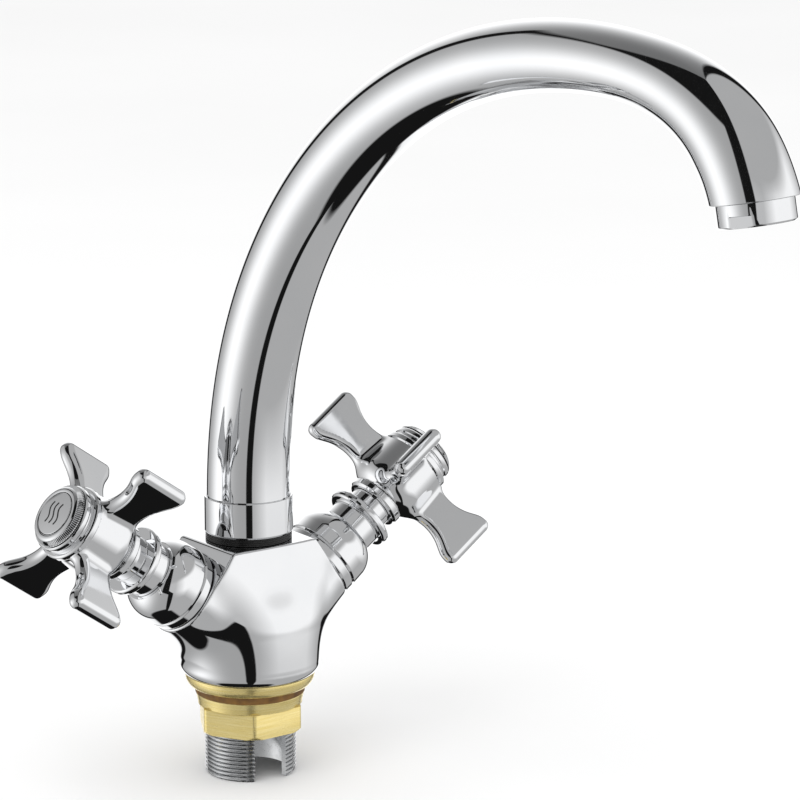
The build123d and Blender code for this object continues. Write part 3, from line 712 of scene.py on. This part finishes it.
# Handles
FIN_TURN = {"hot": radians(45.0), "cold": radians(53.0)}
REAR_COLLAR = (
    (8.65, 67.2, 0.1), (10.0, 67.2, 0.3), (10.8, 68.0, 0.4), (10.8, 70.2, 0.3), (10.0, 70.2, 0.2),
    (10.0, 71.4, 0.1), (8.65, 71.4, 0.1),
)
FRONT_COLLAR = (
    (9.1, 89.0, 0.1), (12.7, 89.0, 0.1), (12.7, 89.45, 0.1), (13.3, 89.45, 0.2), (13.8, 90.0, 0.6),
    (13.8, 91.8, 0.7), (13.2, 92.35, 0.4), (12.0, 92.4, 0.2), (12.0, 93.7, 0.1), (9.1, 93.7, 0.1),
)
KNURL_TEETH = 96
KNURL_DEPTH = 0.6
KNURL_START = (96.75, 96.95)
KNURL_END = (98.3, 98.65)
KNURL_INNER_R = 10.3
CAP_BORE_R = 7.5
CAP_FOOT = ((9.0, 93.7, 0.05), (12.0, 93.75, 0.1))
CAP_RIM_LOW = 94.3
CAP_RIM_HIGH = 95.7
CAP_GROOVE = ((12.0, 96.25, 0.2), (11.3, 96.3, 0.1), (11.3, 96.75, 0.1), (11.9, 96.75, 0.05))
CAP_KNURLED = [(11.95 - 1.5 * i / 8, 96.85 + 1.75 * i / 8) for i in range(9)]
CAP_SHOULDER = ((10.2, 98.85), (9.9, 99.05), (9.5, 99.2))
CAP_CREST = ((9.1, 0.02), (8.6, 0.05), (8.25, 0.2), (8.06, 0.5))  # radius, and depth below the top
CAP_WELL = ((8.05, 98.1, 0.05), (CAP_BORE_R, 98.1, 0.1))
DOME_H = 0.5
DISC_GAP = 0.02
handle_verts, handle_faces, handle_normals = surface(
    handle_field,
    (-HANDLE_HALF, -HANDLE_HALF, HUB_LOW - HANDLE_MARGIN),
    (HANDLE_HALF, HANDLE_HALF, FIN_CENTRE + FIN_TIP_HALF + HANDLE_MARGIN),
    HANDLE_CELL,
)


def knurl(angles, z, r):
    tooth = np.abs(((angles / (2 * pi) * KNURL_TEETH) % 1) * 2 - 1)
    band = smooth_step(*KNURL_START, z) * (1 - smooth_step(*KNURL_END, z)) * (r > KNURL_INNER_R)
    return -KNURL_DEPTH * tooth * band


for water, place in valves.items():
    body = f"{water}_handle"
    turn = FIN_TURN[water]
    spin = np.array([[cos(turn), -sin(turn), 0], [sin(turn), cos(turn), 0], [0, 0, 1]])
    cross = (place.out(handle_verts @ spin.T), handle_faces, place.directions(handle_normals @ spin.T))
    make_piece(
        f"{water}_cross_handle_skin", [cross, lathe(REAR_COLLAR, place), lathe(FRONT_COLLAR, place)],
        body, "polished_chrome", [f"{water}_cross_handle"],
    )
    foot, top, radius = measure(f"{water}_cap_ring", place)
    cap = lathe([
        (CAP_BORE_R, foot, 0.1), (CAP_FOOT[0][0], foot, 0.1), *CAP_FOOT,
        (radius, CAP_RIM_LOW, 0.5), (radius, CAP_RIM_HIGH, 0.5), *CAP_GROOVE, *CAP_KNURLED, *CAP_SHOULDER,
        *[(r, top - depth) for r, depth in CAP_CREST], *CAP_WELL,
    ], place, turns=KNURL_TEETH * 8, ripple=knurl)
    make_piece(f"{water}_cap_ring_skin", [cap], body, "polished_chrome", [f"{water}_cap_ring"])
    foot, top, radius = measure(f"{water}_index_disc", place)
    disc = lathe([
        (0, foot), (radius - DISC_GAP, foot, 0.1), (radius - DISC_GAP, top - DOME_H, 0.22),
        *[(r, top - DOME_H * (r / radius) ** 2) for r in np.linspace(radius - 0.5, 0.6, 12)], (0, top),
    ], place, closed=False)
    make_piece(f"{water}_index_disc_skin", [disc], body, "polished_chrome", [f"{water}_index_disc"])

# Generic water marks on the index discs
MARK_WIDTH = 0.75
MARK_SHAPE = ((-1, 0.0), (-0.8, 1.0), (0.8, 1.0), (1, 0.0))  # share of the half width, share of the height
MARK_SINK = 0.06
MARK_H = 0.12
DISC_R = 7.98
WAVE_COLUMNS = (-2.6, 0.0, 2.6)
WAVE_SWING = 0.75
WAVE_FOOT = -3.9
WAVE_H = 7.8
FLAKE_ARMS = 6
FLAKE_START = 0.3
FLAKE_END = 4.6
BRANCH_AT = 2.7
BRANCH_LENGTH = 1.4


def strip(points, place, top):
    """A raised line along (x, y) points on the disc's dome."""
    line = np.array(points, float)
    along = np.gradient(line, axis=0)
    along /= np.linalg.norm(along, axis=1, keepdims=True)
    side = np.stack([-along[:, 1], along[:, 0]], -1) * MARK_WIDTH / 2
    rows = []
    for offset, height in MARK_SHAPE:
        flat = line + side * offset
        dome = top - DOME_H * (flat**2).sum(1) / DISC_R**2 - MARK_SINK + MARK_H * height
        rows.append(np.column_stack([flat, dome]))
    n = len(line)
    faces = []
    for start in (0, n, 2 * n):
        faces += [[i + n, i + n + 1, i + 1, i] for i in range(start, start + n - 1)]
    faces += [[0, n, 2 * n, 3 * n], [4 * n - 1, 3 * n - 1, 2 * n - 1, n - 1]]
    return place.out(np.concatenate(rows)), faces, None


t = np.linspace(0, 1, 40)
waves = [
    np.column_stack([column + WAVE_SWING * np.sin(t * 2 * pi), WAVE_FOOT + WAVE_H * t])
    for column in WAVE_COLUMNS
]
flake = []
for arm in range(FLAKE_ARMS):
    arm_turn = arm * 2 * pi / FLAKE_ARMS
    direction = np.array([sin(arm_turn), cos(arm_turn)])
    flake.append([direction * r for r in np.linspace(FLAKE_START, FLAKE_END, 12)])
    for branch_turn in (arm_turn - pi / 4, arm_turn + pi / 4):
        branch = np.array([sin(branch_turn), cos(branch_turn)])
        flake.append([direction * BRANCH_AT + branch * r for r in np.linspace(0, BRANCH_LENGTH, 6)])
for water, marks in (("hot", waves), ("cold", flake)):
    place = valves[water]
    top = measure(f"{water}_index_disc", place)[1]
    make_piece(
        f"{water}_index_mark", [strip(mark, place, top) for mark in marks],
        f"{water}_handle", "black_rubber", material=enamel,
    )

# Spout
SPOUT_LINE = (
    (0.0, 69.95), (0.1, 81.9), (2.9, 106.3), (11.9, 139.2), (27.1, 169.5), (47.8, 196.0), (73.9, 217.7),
    (104.8, 233.0), (138.8, 240.65), (170.0, 240.15), (190.0, 237.0), (203.0, 231.6), (213.0, 223.8),
    (220.0, 214.2), (224.4, 203.6),
)
SPOUT_BASE_R = 15.1
SPOUT_BASE_END = 0.2  # share of the spout over which its foot is kept at its radius
SPOUT_WAIST_R = 11.6
SPOUT_WAIST_AT = 0.8
SPOUT_WALL = 1.4
SPOUT_TURN = radians(-80.0)
OUTLET_R = 14.8
OUTLET_TILT = radians(11.0)
OUTLET_START = 0.93  # share of the spout from which it leans to the outlet's tilt
FOOT_END = 0.03  # share of the spout up to which it leans from upright
SPOUT_ROWS = 300
SPOUT_TURNS = 128
SPOUT_STIFFNESS = 4.0e5
START_STIFFNESS = 1e4
END_WEIGHT = 400.0
GIRTH_SMOOTHING = 12
LIP_ROUND = 0.45
LIP_STEPS = 6
LIP_LENGTH = 0.8


def smooth_line(points, rows, stiffness):
    """An even line near the points, with little change of bend."""
    points = np.array(points)
    reach = np.concatenate([[0], np.cumsum(np.linalg.norm(np.diff(points, axis=0), axis=1))])
    spots = reach / reach[-1] * (rows - 1)
    pick = np.zeros((len(points), rows))
    for i, spot in enumerate(spots):
        k = min(int(spot), rows - 2)
        pick[i, k] = 1 - (spot - k)
        pick[i, k + 1] = spot - k
    weight = np.ones(len(points))
    weight[0] = weight[-1] = END_WEIGHT
    third = np.diff(np.eye(rows), 3, axis=0)
    system = pick.T @ (pick * weight[:, None]) + stiffness * third.T @ third
    start = np.zeros((1, rows))
    start[0, :2] = (-1, 1)
    held = system + START_STIFFNESS * start.T @ start
    reach_line = np.linalg.solve(held, pick.T @ (weight * points[:, 0]))
    height_line = np.linalg.solve(system, pick.T @ (weight * points[:, 1]))
    return np.column_stack([reach_line, height_line])


def swept(rows, radii, leans):
    """Rings of the given radii, square to the line."""
    angles = np.arange(SPOUT_TURNS) / SPOUT_TURNS * 2 * pi
    side = np.array([0.0, 1.0, 0.0])
    rings = []
    for (reach, height), radius, tip in zip(rows, radii, leans):
        inward = np.array([cos(tip), 0.0, -sin(tip)])
        ring = np.cos(angles)[:, None] * inward + np.sin(angles)[:, None] * side
        rings.append(np.array([reach, 0.0, height]) + radius * ring)
    return np.array(rings)


def grid_normals(grid):
    along = np.gradient(grid, axis=0)
    round_way = np.roll(grid, -1, axis=1) - np.roll(grid, 1, axis=1)
    normals = np.cross(round_way, along)
    return normals / np.linalg.norm(normals, axis=2, keepdims=True)


line = smooth_line(SPOUT_LINE, SPOUT_ROWS, SPOUT_STIFFNESS)
tangent = np.gradient(line, axis=0)
tangent /= np.linalg.norm(tangent, axis=1, keepdims=True)
share = np.concatenate([[0], np.cumsum(np.linalg.norm(np.diff(line, axis=0), axis=1))])
share /= share[-1]
lean = np.arctan2(tangent[:, 0], tangent[:, 1])
lean = lean + (pi - OUTLET_TILT - lean) * smooth_step(OUTLET_START, 1.0, share)
lean = lean * smooth_step(0.0, FOOT_END, share)
girth = np.where(
    share < SPOUT_WAIST_AT,
    SPOUT_BASE_R - (SPOUT_BASE_R - SPOUT_WAIST_R) * share / SPOUT_WAIST_AT,
    SPOUT_WAIST_R + (OUTLET_R - SPOUT_WAIST_R) * smooth_step(SPOUT_WAIST_AT, 1, share),
)
kernel = np.hanning(2 * GIRTH_SMOOTHING + 1)
girth = np.convolve(np.pad(girth, GIRTH_SMOOTHING, mode="edge"), kernel / kernel.sum(), mode="valid")
girth += np.linspace(SPOUT_BASE_R - girth[0], 0, len(girth)) * (1 - smooth_step(0, SPOUT_BASE_END, share))
spout_place = Place((0, 0, 1), (cos(SPOUT_TURN), sin(SPOUT_TURN), 0))

# The outside, the lip in two quarter turns, and the inside back down
outer, inner = swept(line, girth, lean), swept(line, girth - SPOUT_WALL, lean)
rim_out, rim_in = outer[-1], inner[-1]
outlet_axis = np.array([sin(OUTLET_TILT), 0, -cos(OUTLET_TILT)])
radial = (rim_out - rim_in) / np.linalg.norm(rim_out - rim_in, axis=1, keepdims=True)
lip = outlet_axis * LIP_ROUND * LIP_LENGTH
rows, rows_n = [outer], [grid_normals(outer)]
for tip in (step / LIP_STEPS * pi / 2 for step in range(1, LIP_STEPS + 1)):
    rows.append((rim_out - radial * LIP_ROUND * (1 - cos(tip)) + lip * sin(tip))[None])
    rows_n.append((radial * cos(tip) + outlet_axis * sin(tip))[None])
for tip in (step / LIP_STEPS * pi / 2 for step in range(LIP_STEPS + 1)):
    rows.append((rim_in + radial * LIP_ROUND * (1 - sin(tip)) + lip * cos(tip))[None])
    rows_n.append((-radial * sin(tip) + outlet_axis * cos(tip))[None])
rows.append(inner[::-1])
rows_n.append(-grid_normals(inner)[::-1])
grid = np.concatenate(rows)
grid_n = np.concatenate(rows_n)
ids = np.arange(grid.shape[0] * SPOUT_TURNS).reshape(-1, SPOUT_TURNS)
ids = np.concatenate([ids, ids[:1]])
ids_next = np.roll(ids, -1, axis=1)
spout_faces = np.stack([ids[:-1], ids_next[:-1], ids_next[1:], ids[1:]], -1).reshape(-1, 4).tolist()
make_piece(
    "spout_tube_skin",
    [(spout_place.out(grid.reshape(-1, 3)), spout_faces, spout_place.directions(grid_n.reshape(-1, 3)))],
    "spout", "polished_chrome", ["spout_tube"],
)

# Aerator, along the outlet
AERATOR_FLATS = 24.0
AERATOR_TURN = radians(-13.0)
AERATOR_R = 12.0
AERATOR_FLATS_FROM = 4.15
AERATOR = (
    (10.4, -6.5, 0.2), (10.4, 6.8, 0.1), (9.2, 6.8, 0.1), (9.2, 8.0, 0.2), (12.2, 8.0, 0.3),
    (12.8, 7.4, 0.3), (12.8, 4.3, 0.1), (12.8, 4.0, 0.1), (12.8, 0.4, 0.1), (12.45, 0.35, 0.05),
    (12.45, 0.0, 0.05), (AERATOR_R, 0.0, 0.1), (AERATOR_R, -6.5, 0.2),
)
outlet_centre = spout_place.out(np.array([SPOUT_LINE[-1][0], 0, SPOUT_LINE[-1][1]]))
outlet_side = spout_place.directions(np.array([0.0, 1.0, 0.0]))
aerator_place = Place(spout_place.directions(outlet_axis), outlet_side, outlet_centre)
verts, faces, _ = lathe(AERATOR)
outside = (verts[:, 2] > AERATOR_FLATS_FROM) & (np.hypot(verts[:, 0], verts[:, 1]) > AERATOR_R)
flat_dir = np.array([cos(AERATOR_TURN), sin(AERATOR_TURN)])
past_centre = verts[:, :2] @ flat_dir
cut = np.clip(past_centre, -AERATOR_FLATS / 2, AERATOR_FLATS / 2) - past_centre
verts[outside, :2] += (cut[:, None] * flat_dir)[outside]
make_piece(
    "aerator_housing_skin", [(aerator_place.out(verts), faces, None)],
    "spout", "polished_chrome", ["aerator_housing"],
)

# Mounting nut with its hexagon
NUT_CORNER = 0.35
NUT_CHAMFER = 1.4
NUT_FLANGE_H = 4.3
NUT_FLANGE_TAPER = 0.9
NUT_FLATS = 35.0
NUT_EDGE_BLEND = 0.25
NUT_TURNS = 720
HEX_BASE = 30.0  # radius that marks the rows that become the hexagon
CHAMFER_ROWS = 8
nut_points = cad_points("mounting_nut")
nut_radii = np.hypot(nut_points[:, 0], nut_points[:, 1])
nut_foot, nut_top, nut_radius = measure("mounting_nut")
nut_corner = nut_points[np.argmax(nut_radii)]
corner_turn = atan2(nut_corner[1], nut_corner[0])
flange_r = nut_radii[nut_points[:, 2] > nut_top - 0.01].max()
shelf = nut_top - NUT_FLANGE_H


def hexed(angles, z, r):
    """Takes the rows at HEX_BASE to the hexagon, and leaves the others."""
    from_flat = (angles - corner_turn) % (pi / 3) - pi / 6
    wall = NUT_FLATS / 2 / np.cos(from_flat)
    limit = np.minimum(nut_radius - NUT_CORNER, nut_radius - NUT_CHAMFER + (z - nut_foot) + 0 * angles)
    return np.where(r > HEX_BASE - 1, soft_min(wall, limit, NUT_EDGE_BLEND) - HEX_BASE, 0)


make_piece(
    "mounting_nut_skin",
    [lathe([
        (SHANK_HOLE_R, nut_foot, 0.1),
        *[(HEX_BASE, nut_foot + NUT_CHAMFER * i / CHAMFER_ROWS) for i in range(CHAMFER_ROWS + 1)],
        (HEX_BASE, shelf - 0.12), (HEX_BASE - 0.05, shelf),
        (flange_r - NUT_FLANGE_TAPER, shelf, 0.1), (flange_r - 0.1, nut_top - 0.8),
        (flange_r, nut_top - 0.3), (flange_r - 0.1, nut_top - 0.08), (flange_r - 0.4, nut_top),
        (SHANK_HOLE_R, nut_top, 0.1),
    ], turns=NUT_TURNS, ripple=hexed)],
    "nut", "machined_brass", ["mounting_nut"],
)

# Threaded shank with its slot
SHANK_R = 16.5
SHANK_BORE = 13.3
SHANK_LOW = -33.0
SHANK_HIGH = 14.85
SLOT_TOP = -10.0
SLOT_HALF = 6.4
SLOT_TURN = radians(-90.0 - 6.5)
PITCH = 1.5
THREAD_DEPTH = 0.8
THREAD_TOP = 0.5
THREAD_LEAD = 1.2  # height over which the thread rises from the shank's end
THREAD_ROWS = 9
CREST_STEEP = 2.6
CREST_OFF = 0.8
SOLID_POINTS = 200
SLOT_POINTS = 40


def shank_ring(radius):
    """Angles round the shank, the first ones across the slot and the rest round the wall."""
    edge = np.arcsin(SLOT_HALF / radius)
    slot_angles = np.linspace(-edge, edge, SLOT_POINTS)
    wall_angles = np.linspace(edge, 2 * pi - edge, SOLID_POINTS)
    return np.concatenate([slot_angles[:-1], wall_angles[:-1]])


heights = np.arange(SHANK_LOW, THREAD_TOP, PITCH / THREAD_ROWS)
heights = heights[np.abs(heights - SLOT_TOP) > 0.05]
heights = np.sort(np.concatenate([heights, [SLOT_TOP, SHANK_HIGH]]))
angles = shank_ring(SHANK_R - THREAD_DEPTH / 2)
bore_angles = shank_ring(SHANK_BORE)
outer_rings, inner_rings = [], []
for z in heights:
    phase = ((z - SHANK_LOW) / PITCH - angles / (2 * pi)) % 1
    crest = np.clip(CREST_STEEP * np.abs(phase * 2 - 1) - CREST_OFF, 0, 1)
    depth = THREAD_DEPTH * (1 - crest) * (z < SHANK_HIGH)
    lead = min(1.0, max(0.0, (z - SHANK_LOW) / THREAD_LEAD))
    radius = np.minimum(SHANK_R - depth, SHANK_R - THREAD_DEPTH * (1 - lead))
    x = radius * np.cos(angles)
    y = radius * np.sin(angles)
    for at, edge in ((0, -SLOT_HALF), (SLOT_POINTS - 1, SLOT_HALF)):
        y[at] = edge
        x[at] = sqrt(radius[at] ** 2 - SLOT_HALF**2)
    outer_rings.append(np.column_stack([x, y, np.full(len(x), z)]))
    x, y = SHANK_BORE * np.cos(bore_angles), SHANK_BORE * np.sin(bore_angles)
    inner_rings.append(np.column_stack([x, y, np.full(len(x), z)]))
ring_n = len(angles)
levels = len(heights)
verts = np.concatenate(outer_rings + inner_rings)
faces = []
slot_level = int(np.nonzero(heights == SLOT_TOP)[0][0])
slot_columns = range(SLOT_POINTS - 1)
shift = levels * ring_n
for k in range(levels - 1):
    for j in range(ring_n):
        if k < slot_level and j in slot_columns:
            continue
        a, b = k * ring_n + j, k * ring_n + (j + 1) % ring_n
        faces.append([a, b, b + ring_n, a + ring_n])
        a, b = a + shift, b + shift
        faces.append([b, a, a + ring_n, b + ring_n])
top_row, slot_row = (levels - 1) * ring_n, slot_level * ring_n
for j in range(ring_n):
    k = (j + 1) % ring_n
    low_row = slot_row if j in slot_columns else 0
    faces.append([low_row + k, low_row + j, low_row + j + shift, low_row + k + shift])
    faces.append([top_row + j, top_row + k, top_row + k + shift, top_row + j + shift])
for k in range(slot_level):
    for j, flip in ((0, False), (SLOT_POINTS - 1, True)):
        a, b = k * ring_n + j, (k + 1) * ring_n + j
        quad = [a, b, b + shift, a + shift]
        faces.append(quad[::-1] if flip else quad)
shank_place = Place((0, 0, 1), (cos(SLOT_TURN), sin(SLOT_TURN), 0))
make_piece(
    "threaded_shank_skin", [(shank_place.out(verts), faces, None)],
    "mixer", "satin_metal", ["threaded_shank"],
)

# Camera at the photograph's angle
camera_data = bpy.data.cameras.new("camera")
camera_data.sensor_width = 36.0
camera_data.lens = 174.92
camera_data.clip_end = 20.0
camera = bpy.data.objects.new("camera", camera_data)
camera.location = (-0.76968, -1.10504, 0.41481)
camera.rotation_euler = (pi / 2 - CAMERA_FALL, 0, -CAMERA_TURN)
scene.collection.objects.link(camera)
scene.camera = camera

# Floor
FLOOR_HALF = 4.0
FLOOR_GAP = 0.0002
floor_z = SHANK_LOW * MM - FLOOR_GAP
floor_mesh = bpy.data.meshes.new("floor")
floor_corners = [(x * FLOOR_HALF, y * FLOOR_HALF, floor_z) for x, y in ((-1, -1), (1, -1), (1, 1), (-1, 1))]
floor_mesh.from_pydata(floor_corners, [], [(0, 1, 2, 3)])
floor = bpy.data.objects.new("floor", floor_mesh)
scene.collection.objects.link(floor)
floor.visible_glossy = False
material, tree, shader = new_material("pale_floor")
shader.inputs["Roughness"].default_value = 0.9
shader.inputs["Specular IOR Level"].default_value = 0.0
colour = ramp(tree, noise(tree, 3.0), [(0.3, grey(0.9)), (0.7, grey(0.92))])
tree.links.new(colour, shader.inputs["Base Color"])
floor_mesh.materials.append(material)

# Studio world: white to the camera and even to matt surfaces, soft boxes and dark cards to polished ones
CHROME_LOSS = 1.12
DARK_LEVEL = 0.008
LEFT_TOP = 42.0
LEFT_PEAK = 0.72
LEFT_LEVEL = 0.33
RIGHT_LEVEL = 0.38
BAND_LEVEL = 0.42
FRONT_BAND_LEVEL = 0.1
BACK_LEVEL = 0.14
world = bpy.data.worlds.new("studio")
scene.world = world
world.use_nodes = True
world_tree = world.node_tree
world_tree.nodes.clear()


class Sum:
    """Small wrapper that builds the world's Math nodes from arithmetic."""

    def __init__(self, socket):
        self.socket = socket

    @staticmethod
    def node(operation, *inputs, clamp=False):
        node = world_tree.nodes.new("ShaderNodeMath")
        node.operation = operation
        node.use_clamp = clamp
        for i, value in enumerate(inputs):
            if isinstance(value, Sum):
                world_tree.links.new(value.socket, node.inputs[i])
            else:
                node.inputs[i].default_value = value
        return Sum(node.outputs[0])

    def __add__(self, other):
        return Sum.node("ADD", self, other)

    def __sub__(self, other):
        return Sum.node("SUBTRACT", self, other)

    def __mul__(self, other):
        return Sum.node("MULTIPLY", self, other)


def past(value, at, soft):
    """0 below a level of value and 1 above it, over a soft edge."""
    return Sum.node("MULTIPLY_ADD", value - at, 1.0 / soft, 0.5, clamp=True)


def short(value, at, soft):
    """1 below a level of value and 0 above it, over a soft edge."""
    return Sum.node("MULTIPLY_ADD", value - at, -1.0 / soft, 0.5, clamp=True)


def slide(value, start, end, first, last):
    """Goes from first to last while value goes from start to end."""
    share = Sum.node("MULTIPLY", value - start, 1.0 / (end - start), clamp=True)
    return Sum.node("MULTIPLY_ADD", share, last - first, first)


def glow(turn, rise, turn_reach, rise_reach):
    """A round soft centre of light."""
    across_share = turn * (1.0 / turn_reach)
    up_share = rise * (1.0 / rise_reach)
    return Sum.node("EXPONENT", (across_share * across_share + up_share * up_share) * -1.0)


# Directions in degrees: turn is 0 from the camera's side and grows to its right, rise grows upwards
coords = world_tree.nodes.new("ShaderNodeTexCoord")
split = world_tree.nodes.new("ShaderNodeSeparateXYZ")
rotate = world_tree.nodes.new("ShaderNodeVectorRotate")
rotate.rotation_type = "Z_AXIS"
rotate.inputs["Angle"].default_value = pi / 2 + CAMERA_TURN
world_tree.links.new(coords.outputs["Generated"], rotate.inputs["Vector"])
world_tree.links.new(rotate.outputs["Vector"], split.inputs["Vector"])
east, north, up = (Sum(split.outputs[i]) for i in range(3))
turn = Sum.node("ARCTAN2", north, east) * (180 / pi)
rise = Sum.node("ARCSINE", up) * (180 / pi)

# Left soft box, brightest beside the tap, with a dark gap behind it and one at the camera
left_start = slide(rise, start=-8.0, end=LEFT_TOP, first=-142.0, last=-119.0)
left_end = slide(rise, start=-11.0, end=0.0, first=-4.0, last=-27.0)
in_left = past(turn, left_start, soft=3.0) * short(turn, left_end, soft=2.0)
in_left = in_left * short(rise, LEFT_TOP, soft=3.0) * past(rise, -63.0, soft=4.0)
left_glow = glow(turn + 85.0, rise + 13.0, turn_reach=31.0, rise_reach=31.0)
left_box = in_left * (left_glow * LEFT_PEAK + LEFT_LEVEL)

# Right wall and ceiling of even grey, with a bright band at the tap's height
right_start = slide(rise, start=-11.0, end=0.0, first=12.5, last=-4.0)
in_right = past(turn, right_start, soft=2.0) * short(turn, 145.0, soft=3.0) * past(rise, -71.0, soft=4.0)
band = past(turn, 34.0, soft=34.0) * short(turn, 124.0, soft=34.0)
band = band * past(rise, -20.0, soft=18.0) * short(rise, 23.0, soft=9.0)
front_band = past(rise, -14.0, soft=14.0) * short(rise, 20.0, soft=9.0)
right_wall = in_right * (band * BAND_LEVEL + front_band * FRONT_BAND_LEVEL + RIGHT_LEVEL)

# Soft light behind the tap
behind_left_box = past(turn, left_start - 12.0, soft=3.0) * short(rise, LEFT_TOP + 4.0, soft=3.0)
behind = past(turn, 156.0, soft=3.0) + short(turn, -94.0, soft=3.0) * (behind_left_box * -1.0 + 1.0)
from_back = Sum.node("ABSOLUTE", turn) * -1.0 + 180.0
back_height = slide(rise, start=15.0, end=90.0, first=0.0, last=75.0)
back_glow = glow(from_back, back_height, turn_reach=42.0, rise_reach=34.0)
back_light = behind * past(rise, -60.0, soft=4.0) * (back_glow + BACK_LEVEL)

brightest = Sum.node("MAXIMUM", Sum.node("MAXIMUM", left_box, right_wall), back_light)
studio = brightest * CHROME_LOSS + DARK_LEVEL
path = world_tree.nodes.new("ShaderNodeLightPath")
strength = Sum.node("MULTIPLY", studio - 1.0, Sum(path.outputs["Is Glossy Ray"])) + 1.0
background = world_tree.nodes.new("ShaderNodeBackground")
background.inputs["Color"].default_value = grey(1)
world_tree.links.new(strength.socket, background.inputs["Strength"])
output = world_tree.nodes.new("ShaderNodeOutputWorld")
world_tree.links.new(background.outputs["Background"], output.inputs["Surface"])

# One large soft lamp for the shadow
LAMP_AIM = Vector((0, 0, 0.1))
lamp_data = bpy.data.lights.new("soft_lamp", "AREA")
lamp_data.shape = "DISK"
lamp_data.size = 1.6
lamp_data.energy = 12.0
lamp = bpy.data.objects.new("soft_lamp", lamp_data)
lamp.location = (-1.0, -0.6, 1.8)
lamp.rotation_euler = (LAMP_AIM - Vector(lamp.location)).to_track_quat("-Z", "Y").to_euler()
lamp.visible_glossy = False
scene.collection.objects.link(lamp)

scene.view_settings.view_transform = "Standard"
